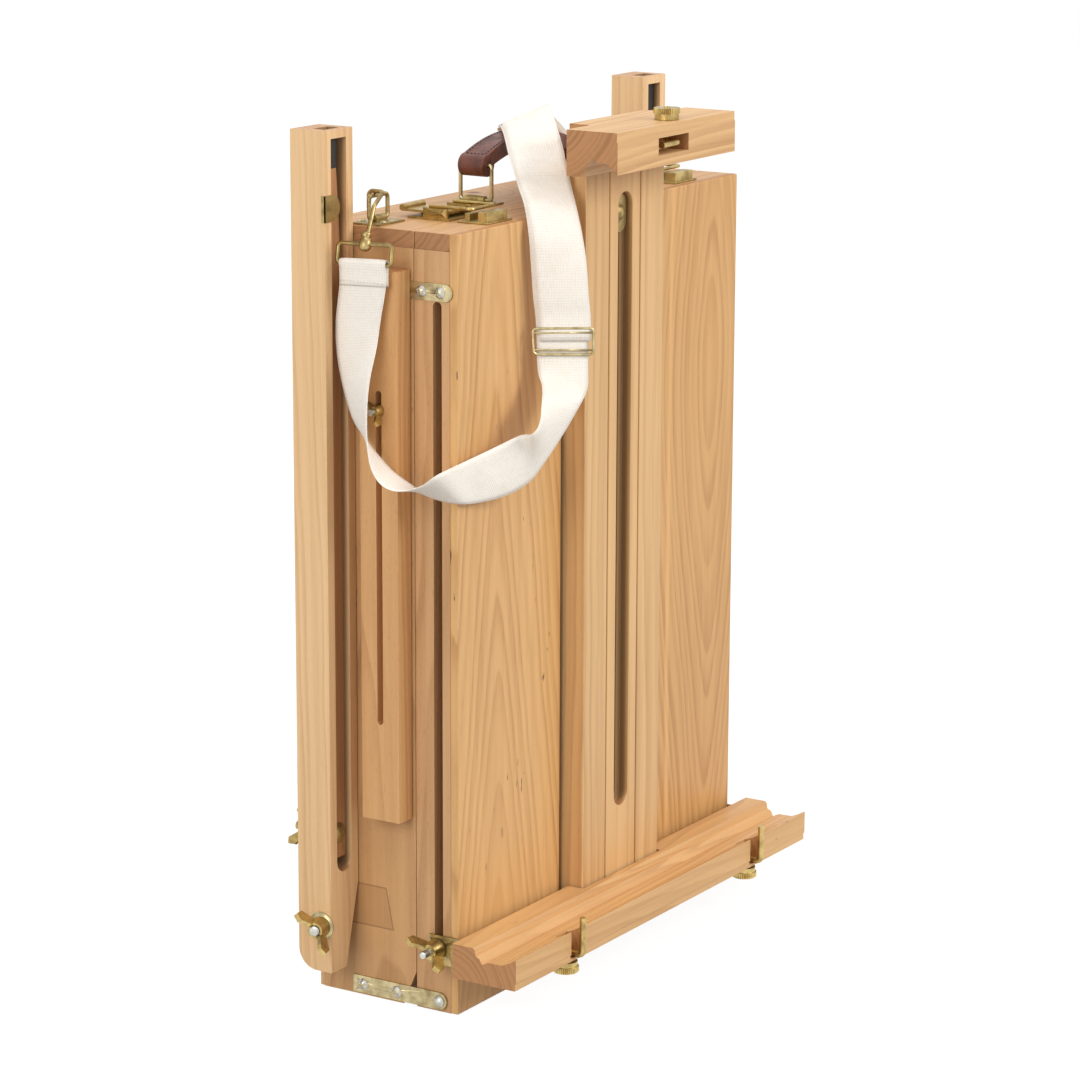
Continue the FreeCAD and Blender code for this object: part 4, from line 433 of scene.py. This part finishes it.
def tube(name, points, radius, material, closed=False, corner=0.003, sides=14):
    """Round wire that follows a line with eased corners."""
    line = rounded(points, corner, closed)
    verts, faces = [], []
    count = len(line)
    normal = None
    for index, point in enumerate(line):
        before = line[index - 1] if closed or index else point
        after = line[(index + 1) % count] if closed or index < count - 1 else point
        along = (after - before).normalized()
        if normal is None:
            normal = along.orthogonal().normalized()
        normal = (normal - along * normal.dot(along)).normalized()
        other = along.cross(normal)
        for side in range(sides):
            angle = 2 * math.pi * side / sides
            verts.append(point + (normal * math.cos(angle) + other * math.sin(angle)) * radius)
    rings = count if closed else count - 1
    for index in range(rings):
        a, b = index * sides, ((index + 1) % count) * sides
        for side in range(sides):
            following = (side + 1) % sides
            faces.append((a + side, a + following, b + following, b + side))
    if not closed:
        faces.append(tuple(range(sides))[::-1])
        faces.append(tuple((count - 1) * sides + side for side in range(sides)))
    return mesh_object(name, verts, faces, material)


# The shoulder strap: its two edges at each station in millimetres, from the left buckle to the right one

STRAP_EDGES = [
    ((-213.5, 19.3, 524.5), (-213.5, -18.7, 526)), ((-213.5, 20.5, 510), (-213.5, -17, 512)),
    ((-213.5, 23.8, 487), (-214.5, -14, 492)), ((-213.5, 23.0, 467), (-219, -13.5, 474)),
    ((-213.5, 18.5, 444), (-228.5, -14.5, 454)), ((-213, 11.2, 422), (-235, -16.6, 435)),
    ((-211.5, 2.2, 409.5), (-241, -20.8, 413)), ((-210, -9.0, 397.5), (-243.7, -25.6, 396.7)),
    ((-209.4, -20.5, 387), (-241, -32.9, 385.9)), ((-203, -31.5, 378), (-235.9, -42.9, 381.6)),
    ((-197, -43, 369.8), (-229.6, -55.2, 384.9)), ((-194, -62, 367.5), (-221.5, -65, 393)),
    ((-172.1, -66, 365), (-194.3, -65, 395.8)), ((-148, -73, 366.7), (-164.6, -69.2, 400.7)),
    ((-131.7, -79, 373), (-146.1, -80, 408.1)), ((-120.5, -83.5, 384.2), (-145.4, -91, 410.5)),
    ((-103.5, -88, 401.1), (-138, -92, 417)), ((-90.4, -93, 419.7), (-126, -86.5, 428)),
    ((-77.7, -93, 431.3), (-112.3, -77.6, 437)), ((-75.7, -92, 445.2), (-106.5, -70.5, 448.3)),
    ((-74.4, -91, 479.3), (-104, -67, 480.7)), ((-77.2, -91, 495.5), (-105.9, -66.1, 497)),
    ((-78.5, -90, 517.1), (-107.2, -65.2, 518.5)), ((-77.7, -86, 536.7), (-108.5, -64.1, 540)),
    ((-73.5, -79, 552.9), (-104.7, -58.2, 559.1)), ((-62.1, -67, 568), (-94, -46.5, 569.9)),
    ((-59.3, -62, 580.3), (-90.2, -39.9, 580.5)), ((-45.9, -52, 584.8), (-75.3, -27.9, 584.6)),
    ((-32.4, -42, 589.3), (-59.5, -15.4, 588.7)), ((-6.6, -20, 601.6), (-35.9, 3.2, 597.5)),
    ((14, -3, 608.5), (-14, 20, 600)), ((22, 4, 611.1), (-4.7, 25.1, 599)),
    ((32, 10, 608), (6, 37, 594)), ((62, 18, 596), (30, 44, 583)),
    ((100, 25, 572), (84, 58, 567)), ((142, 23.8, 557), (142, 61.8, 557)),
]
STRAP_WIDTH = 0.038
STRAP_WALL = 0.0013
SLIDER_STATION = 19
ACROSS = 10
CUTS = 7


def spline(before, start, end, after, share):
    """A point on the smooth curve between two points."""
    a = (end - before) * 0.5
    b = (after - start) * 0.5
    square, cube = share * share, share ** 3
    return (start * (2 * cube - 3 * square + 1) + a * (cube - 2 * square + share)
            + end * (3 * square - 2 * cube) + b * (cube - square))


def strap_line(first=0, last=len(STRAP_EDGES) - 1):
    """The webbing's middle line, with the direction across it and out of its face, as (middle, across, skin)."""
    edges = [(Vector(a) / 1000, Vector(b) / 1000) for a, b in STRAP_EDGES]
    rows = []
    for index in range(first, last):
        four = [edges[max(index - 1, 0)], edges[index], edges[index + 1], edges[min(index + 2, len(edges) - 1)]]
        for cut in range(CUTS if index < last - 1 else CUTS + 1):
            a, b = (spline(*(pair[end] for pair in four), cut / CUTS) for end in (0, 1))
            rows.append(((a + b) / 2, (b - a).normalized()))
    line = []
    for index, (middle, across) in enumerate(rows):
        ahead = rows[min(index + 1, len(rows) - 1)][0] - rows[max(index - 1, 0)][0]
        line.append((middle, across, across.cross(ahead.normalized()).normalized()))
    return line


def band(name, line, wall=STRAP_WALL, lift=0.0, shift=0.0, width=STRAP_WIDTH, crown=0.0, material=None):
    """Webbing along a line, with its weave's coordinates in metres; lift moves it out of its face."""
    verts, faces, places = [], [], []
    run = 0.0
    ring = 2 * (ACROSS + 1)
    for index, (middle, across, skin) in enumerate(line):
        if index:
            run += (middle - line[index - 1][0]).length
        for face, order in ((1, range(ACROSS + 1)), (-1, range(ACROSS, -1, -1))):
            for column in order:
                u = column / ACROSS - 0.5
                thin = (1 - abs(2 * u) ** 6) * 0.75 + 0.25
                rise = lift + face * wall / 2 * thin + crown * (1 - 4 * u * u)
                verts.append(middle + across * (u * width + shift) + skin * rise)
                places.append((u * width, run))
    rows = len(line)
    for index in range(rows - 1):
        a, b = index * ring, (index + 1) * ring
        for column in range(ring):
            following = (column + 1) % ring
            faces.append((a + column, a + following, b + following, b + column))
    faces.append(tuple(range(ring))[::-1])
    faces.append(tuple((rows - 1) * ring + column for column in range(ring)))
    piece = mesh_object(name, verts, faces, material or CLOTH)
    layer = piece.data.uv_layers.new(name="weave")
    for loop in piece.data.loops:
        layer.data[loop.index].uv = places[loop.vertex_index]
    return piece, run


def hem(name, bar, along, across, skin, length, wall=0.0013, inner=0.0018, gap=0.00135):
    """Webbing folded round a buckle's bar and sewn back on itself."""
    line = []
    for side in (-1, 1):
        leg = []
        for share in (1.0, 0.8, 0.6, 0.45, 0.3, 0.18):
            spread = gap + (inner - gap) * max(0.0, 1 - share * length / 0.008) ** 2
            leg.append((bar + along * (length * share) + skin * side * spread, side))
        line.append(leg)
    arc = [(bar + along * (0.0015 * -math.sin(t)) + skin * (inner + wall / 2) * -math.cos(t)
            + along * (-inner * math.sin(t)), 0) for t in (0.3, 0.8, 1.3, 1.8, 2.3, 2.8)]
    points = [p for p, _ in line[0]] + [p for p, _ in arc] + [p for p, _ in reversed(line[1])]
    rows = []
    for index, point in enumerate(points):
        ahead = points[min(index + 1, len(points) - 1)] - points[max(index - 1, 0)]
        rows.append((point, across, across.cross(ahead.normalized()).normalized()))
    return band(name, rows, wall)


FULL_LINE = strap_line()
strap, strap_length = band("shoulder_strap_webbing", FULL_LINE)
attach(strap, "drawer")
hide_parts("shoulder_strap")
loop_line = strap_line(SLIDER_STATION, len(STRAP_EDGES) - 1)[4:]
under, under_length = band("shoulder_strap_under_layer", loop_line, lift=-0.0016, shift=-0.0016)
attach(under, "drawer")
print("STRAP", round(strap_length, 4), round(under_length, 4))

LEFT_BAR = (Vector((-213.5, -21.7, 529)) + Vector((-213.5, 22.3, 527.5))) / 2000
first_middle, first_across, first_skin = FULL_LINE[0]
left_hem, left_hem_length = hem("strap_hem_left", LEFT_BAR, Vector((0, 0, -1)), first_across, first_skin, 0.0145)
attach(left_hem, "drawer")
RIGHT_BAR = Vector((144, 42.8, 556)) / 1000
last_middle, last_across, last_skin = FULL_LINE[-1]
right_hem, right_hem_length = hem("strap_hem_right", RIGHT_BAR, Vector((-1, 0, 0.02)).normalized(), last_across,
                                  last_skin, 0.017)
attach(right_hem, "drawer")


def stitches(name, spots, length, radius, material):
    """Short thread stitches, each from its middle, direction and outward side."""
    verts, faces = [], []
    for middle, along, outward in spots:
        side = along.cross(outward).normalized()
        base = len(verts)
        for share, swell in ((-0.5, 0.2), (-0.3, 0.9), (0.0, 1.0), (0.3, 0.9), (0.5, 0.2)):
            for step in range(6):
                angle = 2 * math.pi * step / 6
                verts.append(middle + along * length * share
                             + (side * math.cos(angle) + outward * (math.sin(angle) * 0.7)) * radius * swell)
        for ring in range(4):
            for step in range(6):
                following = (step + 1) % 6
                a, b = base + ring * 6, base + (ring + 1) * 6
                faces.append((a + step, a + following, b + following, b + step))
        faces.append(tuple(base + step for step in range(6))[::-1])
        faces.append(tuple(base + 24 + step for step in range(6)))
    return mesh_object(name, verts, faces, material)


random.seed(11)
hem_spots = []
for row_z in (0.5165,):
    for step in range(13):
        y = -0.0155 + step * 0.0028
        wander = random.uniform(-0.0004, 0.0004)
        for face_x, outward in ((-0.21555, Vector((-1, 0, 0))), (-0.2114, Vector((1, 0, 0)))):
            hem_spots.append((Vector((face_x, y, row_z + wander)), Vector((0, 1, 0)), outward))
hem_stitches = stitches("strap_hem_stitches", hem_spots, 0.0022, 0.00032, THREAD)
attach(hem_stitches, "drawer")


def slider_wires():
    """The adjuster: a wire frame and its middle bar, flat on the webbing's face."""
    low_a, low_b = (Vector(end) / 1000 for end in STRAP_EDGES[SLIDER_STATION])
    high_a, high_b = (Vector(end) / 1000 for end in STRAP_EDGES[SLIDER_STATION + 1])
    up = (high_a - low_a).normalized()
    corners = []
    for share, ends in ((0.84, "ab"), (0.3, "ba")):
        a = low_a + (high_a - low_a) * share
        b = low_b + (high_b - low_b) * share
        across = (b - a).normalized()
        outward = across.cross(up).normalized()
        if outward.y > 0:
            outward = -outward
        lift = outward * (STRAP_WALL / 2 + 0.0012)
        pair = {"a": a - across * 0.0034 + lift, "b": b + across * 0.0034 + lift}
        corners += [pair[end] for end in ends]
    outer = tube("strap_slider_frame", corners, 0.0009, PALE_BRASS, closed=True, corner=0.003)
    top_a, top_b, low_b_corner, low_a_corner = corners
    for label, share in (("upper", 0.17), ("lower", 0.83)):
        start = top_a + (low_a_corner - top_a) * share
        end = top_b + (low_b_corner - top_b) * share
        bar = tube(f"strap_slider_{label}_bar", [start, end], 0.0007, PALE_BRASS)
        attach(bar, "drawer")
    return outer


slider = slider_wires()
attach(slider, "drawer")


# Screw heads

def screw_head(name, centre, outward, radius, body, turn=0.3, material=STEEL):
    """A round head with a cross recess painted dark as shade, over the plain head of the solid."""
    outward = Vector(outward).normalized()
    side = outward.orthogonal().normalized()
    other = outward.cross(side)
    rings, steps = 16, 64
    arm, reach, depth = radius * 0.2, radius * 0.66, radius * 0.26
    verts, faces, dark = [], [], []
    rise = radius * 0.62
    for ring in range(rings + 1):
        r = radius * 1.05 * ring / rings
        for step in range(steps):
            angle = 2 * math.pi * step / steps
            x, y = r * math.cos(angle), r * math.sin(angle)
            height = rise * (1 - (r / (radius * 1.05)) ** 2) + 0.0002
            inside = min(abs(x), abs(y)) < arm and max(abs(x), abs(y)) < reach
            if inside:
                height -= depth
            a = math.cos(turn) * x - math.sin(turn) * y
            b = math.sin(turn) * x + math.cos(turn) * y
            verts.append(Vector(centre) + side * a + other * b + outward * height)
            dark.append(inside)
    for ring in range(rings):
        for step in range(steps):
            following = (step + 1) % steps
            a, b = ring * steps, (ring + 1) * steps
            faces.append((a + step, b + step, b + following, a + following))
    piece = mesh_object(name, verts, faces, material)
    # The recess's faces take the painted shade.
    piece.data.materials.append(RECESS_SHADE)
    for face in piece.data.polygons:
        if all(dark[v] for v in face.vertices):
            face.material_index = 1
    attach(piece, body)
    return piece


for side, k in (("left", -1), ("right", 1)):
    for label, y in (("back", 0.021), ("front", -0.008)):
        screw_head(f"hinge_screw_{label}_{side}", (k * 0.1916, y, 0.008), (k, 0, 0), 0.0040, "case", 0.4 + y * 30)
    screw_head(f"hinge_pivot_screw_{side}", (k * 0.1917, -0.044, 0.008), (k, 0, 0), 0.0040, "lid", 0.1)
    for label, y in (("front", -0.046), ("back", -0.031)):
        screw_head(f"stay_bracket_screw_{label}_{side}", (k * 0.1912, y, 0.510), (k, 0, 0), 0.0038, "lid", y * 40)


# Small metal pieces and the handle's seams

def turned(name, centre, axis, profile, material, steps=48, ribs=0, rib=0.0):
    """A piece turned about an axis from (along, radius) steps, with ribs round its rim if wanted."""
    axis = Vector(axis).normalized()
    side = axis.orthogonal().normalized()
    other = axis.cross(side)
    verts, faces = [], []
    for along, radius in profile:
        for step in range(steps):
            angle = 2 * math.pi * step / steps
            r = radius - (rib if ribs and step % 2 and radius > profile[0][1] * 0.9 else 0.0)
            verts.append(Vector(centre) + axis * along + (side * math.cos(angle) + other * math.sin(angle)) * r)
    for ring in range(len(profile) - 1):
        for step in range(steps):
            following = (step + 1) % steps
            a, b = ring * steps, (ring + 1) * steps
            faces.append((a + step, a + following, b + following, b + step))
    faces.append(tuple(range(steps))[::-1])
    faces.append(tuple((len(profile) - 1) * steps + step for step in range(steps)))
    return mesh_object(name, verts, faces, material, smooth=ribs == 0)


def carried(piece, body):
    """A piece that moves with a body."""
    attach(piece, body)
    return piece


def leg_keeper(side, k):
    """The brass half round over a leg's channel, with a narrow lip folded over the leg's edge."""
    front, outer = 0.0245, 0.2242
    wall, low, high = 0.0009, 0.5555, 0.5735
    straight = 0.2165
    middle, half = (low + high) / 2, (high - low) / 2
    outline = [(outer + wall, low), (outer + wall, high), (straight, high)]
    outline += [(straight - half * math.sin(t), middle + half * math.cos(t))
                for t in (math.pi * i / 14 for i in range(1, 14))]
    outline.append((straight, low))
    verts, faces = [], []
    for y in (front - 0.0001, front - wall):
        verts += [(k * x, y, z) for x, z in outline]
    count = len(outline)
    faces.append(tuple(range(count)))
    faces.append(tuple(range(count, 2 * count))[::-1])
    faces += [(i, (i + 1) % count, count + (i + 1) % count, count + i) for i in range(count)]
    base = len(verts)
    verts += [(x, y, z) for x in (k * (outer + 0.0001), k * (outer + wall))
              for y in (front - wall, front + 0.0022) for z in (low, high)]
    faces += [tuple(base + i for i in face) for face in
              ((0, 1, 3, 2), (4, 6, 7, 5), (0, 4, 5, 1), (2, 3, 7, 6), (0, 2, 6, 4), (1, 5, 7, 3))]
    return carried(mesh_object(f"leg_keeper_{side}", verts, faces, OLD_BRASS, smooth=False),
                   f"leg_upper_{side}")


def threaded(name, start, direction, radius, length, body):
    """A bolt's threaded end beyond its nut, with a small chamfer."""
    pitch = 0.001
    profile = [(0.0, radius * 0.86)]
    for turn in range(int(length / pitch)):
        profile += [(pitch * (turn + 0.25), radius * 0.86), (pitch * (turn + 0.6), radius)]
    profile += [(length, radius * 0.8), (length + 0.0004, radius * 0.6)]
    return carried(turned(name, start, direction, profile, STEEL, steps=24), body)


def surface_tree(node_name):
    """A CAD node's faces, ready to be met by a line."""
    node = NODES[node_name]
    world = node.matrix_world
    return BVHTree.FromPolygons([world @ vertex.co for vertex in node.data.vertices],
                                [tuple(face.vertices) for face in node.data.polygons])


TOP_TREES = {name: surface_tree(name) for name in
             ("handle_grip", "latch_bases", "latch_strikes", "handle_plates", "strap_eyes")}


def from_above(node_name, x, y):
    """The highest point of a node at a place, and its face's direction."""
    spot, normal, _, _ = TOP_TREES[node_name].ray_cast(Vector((x, y, 0.7)), Vector((0, 0, -1)))
    return spot, normal


def knurled(name, centre, low, high, body):
    """A knurled band round a thumb nut's rim."""
    turned(name, (centre[0], centre[1], 0.0), (0, 0, 1),
           [(low, 0.0083), (low, 0.0094), (high, 0.0094), (high, 0.0083)], BRASS, steps=72, ribs=36, rib=0.0007)
    return carried(bpy.data.objects[name], body)


for side, k in (("left", -1), ("right", 1)):
    leg_keeper(side, k)
    washer = turned(f"leg_washer_{side}", (k * 0.2243, 0.0325, 0.059), (k, 0, 0),
                    [(0.0, 0.0042), (0.0, 0.0100), (0.0010, 0.0100), (0.0010, 0.0042)], PALE_BRASS)
    carried(washer, f"leg_upper_{side}")
    knurled(f"tray_hook_knurl_{side}", (k * 0.128, -0.109), 0.0245, 0.0285, f"tray_hook_{side}")
    threaded(f"tray_bolt_thread_{side}", (k * 0.2045, -0.043, 0.047), (k, 0, 0), 0.0029, 0.0062, "tray")
    threaded(f"leg_pivot_thread_{side}", (k * 0.2320, 0.0310, 0.059), (k * 0.978, -0.208, 0), 0.0039, 0.0060, "case")
    for label, node_name, x, y in (("front", "latch_bases", 0.126, 0.0105), ("strike", "latch_strikes", 0.126, -0.0415),
                                   ("eye_front", "strap_eyes", 0.178, 0.0085), ("eye_back", "strap_eyes", 0.178, 0.0255),
                                   ("plate_front", "handle_plates", 0.057, -0.0012),
                                   ("plate_back", "handle_plates", 0.057, 0.0272)):
        spot, _ = from_above(node_name, k * x, y)
        body = "lid" if node_name == "latch_strikes" else "drawer"
        screw_head(f"top_screw_{label}_{side}", spot, (0, 0, 1), 0.0024, body, x * 70 + y * 90,
                   PALE_BRASS)
knurled("top_hook_knurl", (0.008, -0.1041), 0.6154, 0.6194, "top_hook")


def grip_seams():
    """Two rows of stitches along the grip's top and one across each end."""
    spots = []
    for row in (0.0052, 0.0208):
        for step in range(33):
            x = -0.0565 + step * 0.00353
            spot, normal = from_above("handle_grip", x, row)
            ahead, _ = from_above("handle_grip", x + 0.001, row)
            spots.append((spot + normal * 0.0002, (ahead - spot).normalized(), normal))
    for end in (-0.0583, 0.0583):
        for step in range(5):
            spot, normal = from_above("handle_grip", end, 0.0068 + step * 0.0031)
            spots.append((spot + normal * 0.0002, Vector((0, 1, 0)), normal))
    return stitches("handle_grip_stitches", spots, 0.0024, 0.00035, DARK_THREAD)


carried(grip_seams(), "handle_grip")


def swivel(name, centre, direction):
    """The snap hook's swivel barrel, over the middle of the buckle's bar."""
    profile = [(-0.0046, 0.0014), (-0.0042, 0.0030), (-0.0030, 0.0040), (0.0, 0.0044), (0.0030, 0.0040),
               (0.0040, 0.0030), (0.0048, 0.0026), (0.0056, 0.0034), (0.0068, 0.0036), (0.0078, 0.0028),
               (0.0082, 0.0016)]
    return carried(turned(name, centre, direction, profile, OLD_BRASS, steps=28), "drawer")


swivel("snap_swivel_left", (-0.2115, 0.0003, 0.54175), (0.0115, 0.005, 0.022))
swivel("snap_swivel_right", (0.155, 0.0428, 0.557), (0.017, -0.0078, 0.008))

# Floor, light and camera

def stage_material(name, value):
    """Plain white, with no gloss."""
    s = Shader(name)
    s.surface.inputs["Base Color"].default_value = (value, value, value, 1.0)
    s.surface.inputs["Roughness"].default_value = 0.9
    s.surface.inputs["Specular IOR Level"].default_value = 0.0
    return s


def build_stage():
    """A white floor that keeps the object's shadow; the open lid shows through it, because it hangs below its foot."""
    size = 6.0
    data = bpy.data.meshes.new("floor")
    data.from_pydata([(-size, -size, -0.0004), (size, -size, -0.0004), (size, size, -0.0004), (-size, size, -0.0004)],
                     [], [(0, 1, 2, 3)])
    floor = bpy.data.objects.new("floor", data)
    bpy.context.scene.collection.objects.link(floor)
    s = stage_material("floor_white", 0.92)
    rays = s.add("LightPath")
    seen = s.math("MAXIMUM", rays.outputs["Is Camera Ray"],
                  s.math("MAXIMUM", rays.outputs["Is Glossy Ray"], rays.outputs["Is Transmission Ray"]))
    s.tree.links.new(s.math("MULTIPLY", seen, 0.8), s.surface.inputs["Emission Strength"])
    s.surface.inputs["Emission Color"].default_value = (1.0, 1.0, 1.0, 1.0)
    s.surface.inputs["Base Color"].default_value = (0.42, 0.42, 0.42, 1.0)
    see_through = s.math("MAXIMUM", rays.outputs["Is Shadow Ray"], s.add("NewGeometry").outputs["Backfacing"])
    see_through = s.math("MAXIMUM", see_through, s.math("MULTIPLY", rays.outputs["Is Camera Ray"], 0.65))
    both = s.add("MixShader", {0: see_through, 1: s.surface.outputs[0], 2: s.add("BsdfTransparent").outputs[0]})
    s.tree.links.new(both.outputs[0], s.output.inputs[0])
    data.materials.append(s.material)
    world = bpy.data.worlds.new("studio")
    bpy.context.scene.world = world
    world.use_nodes = True
    tree = world.node_tree
    tree.nodes.clear()
    rays = tree.nodes.new("ShaderNodeLightPath")
    out = tree.nodes.new("ShaderNodeOutputWorld")
    back = tree.nodes.new("ShaderNodeBackground")
    back.inputs["Color"].default_value = (1.0, 1.0, 1.0, 1.0)
    both = tree.nodes.new("ShaderNodeMath")
    both.operation = "MAXIMUM"
    every = tree.nodes.new("ShaderNodeMath")
    every.operation = "MAXIMUM"
    tree.links.new(rays.outputs["Is Camera Ray"], both.inputs[0])
    tree.links.new(rays.outputs["Is Glossy Ray"], both.inputs[1])
    tree.links.new(both.outputs[0], every.inputs[0])
    tree.links.new(rays.outputs["Is Transmission Ray"], every.inputs[1])
    level = tree.nodes.new("ShaderNodeMapRange")
    level.inputs["To Min"].default_value = 0.62
    level.inputs["To Max"].default_value = 1.0
    tree.links.new(every.outputs[0], level.inputs["Value"])
    tree.links.new(level.outputs[0], back.inputs["Strength"])
    tree.links.new(back.outputs[0], out.inputs["Surface"])


def lamp(name, place, target, size, power):
    """A square soft light aimed at a point."""
    data = bpy.data.lights.new(name, "AREA")
    data.size = size
    data.energy = power
    thing = bpy.data.objects.new(name, data)
    bpy.context.scene.collection.objects.link(thing)
    thing.location = place
    thing.rotation_euler = (Vector(target) - Vector(place)).to_track_quat("-Z", "Y").to_euler()


def build_camera():
    """The photograph's view: a long lens, a little above and to the left."""
    azimuth, elevation, roll = math.radians(-57.673), math.radians(12.98), math.radians(0.195)
    back = Vector((math.sin(azimuth) * math.cos(elevation), -math.cos(azimuth) * math.cos(elevation),
                   math.sin(elevation)))
    right = Vector((math.cos(azimuth), math.sin(azimuth), 0))
    up = back.cross(right)
    turned_right = right * math.cos(roll) + up * math.sin(roll)
    turned_up = up * math.cos(roll) - right * math.sin(roll)
    basis = Matrix((turned_right, turned_up, back)).transposed().to_4x4()
    data = bpy.data.cameras.new("photo_view")
    data.sensor_width = 36.0
    data.sensor_fit = "HORIZONTAL"
    data.lens = 36.0 * 3770.35 / 1080.0
    data.clip_end = 50.0
    camera = bpy.data.objects.new("photo_view", data)
    bpy.context.scene.collection.objects.link(camera)
    camera.matrix_world = Matrix.Translation(Vector((-2.26861, -1.44099, 0.91673))) @ basis
    bpy.context.scene.camera = camera


build_stage()
lamp("key", (0.7, -2.5, 1.7), (0.0, 0.0, 0.3), 1.2, 40.0)
lamp("fill", (-2.7, -0.1, 1.4), (0.0, 0.0, 0.3), 1.5, 30.0)
lamp("top", (0.2, -0.2, 2.8), (0.0, 0.0, 0.3), 1.4, 12.0)
lamp("back", (0.9, 2.6, 1.7), (0.0, 0.0, 0.3), 1.6, 16.0)
build_camera()
bpy.context.scene.view_settings.view_transform = "Standard"
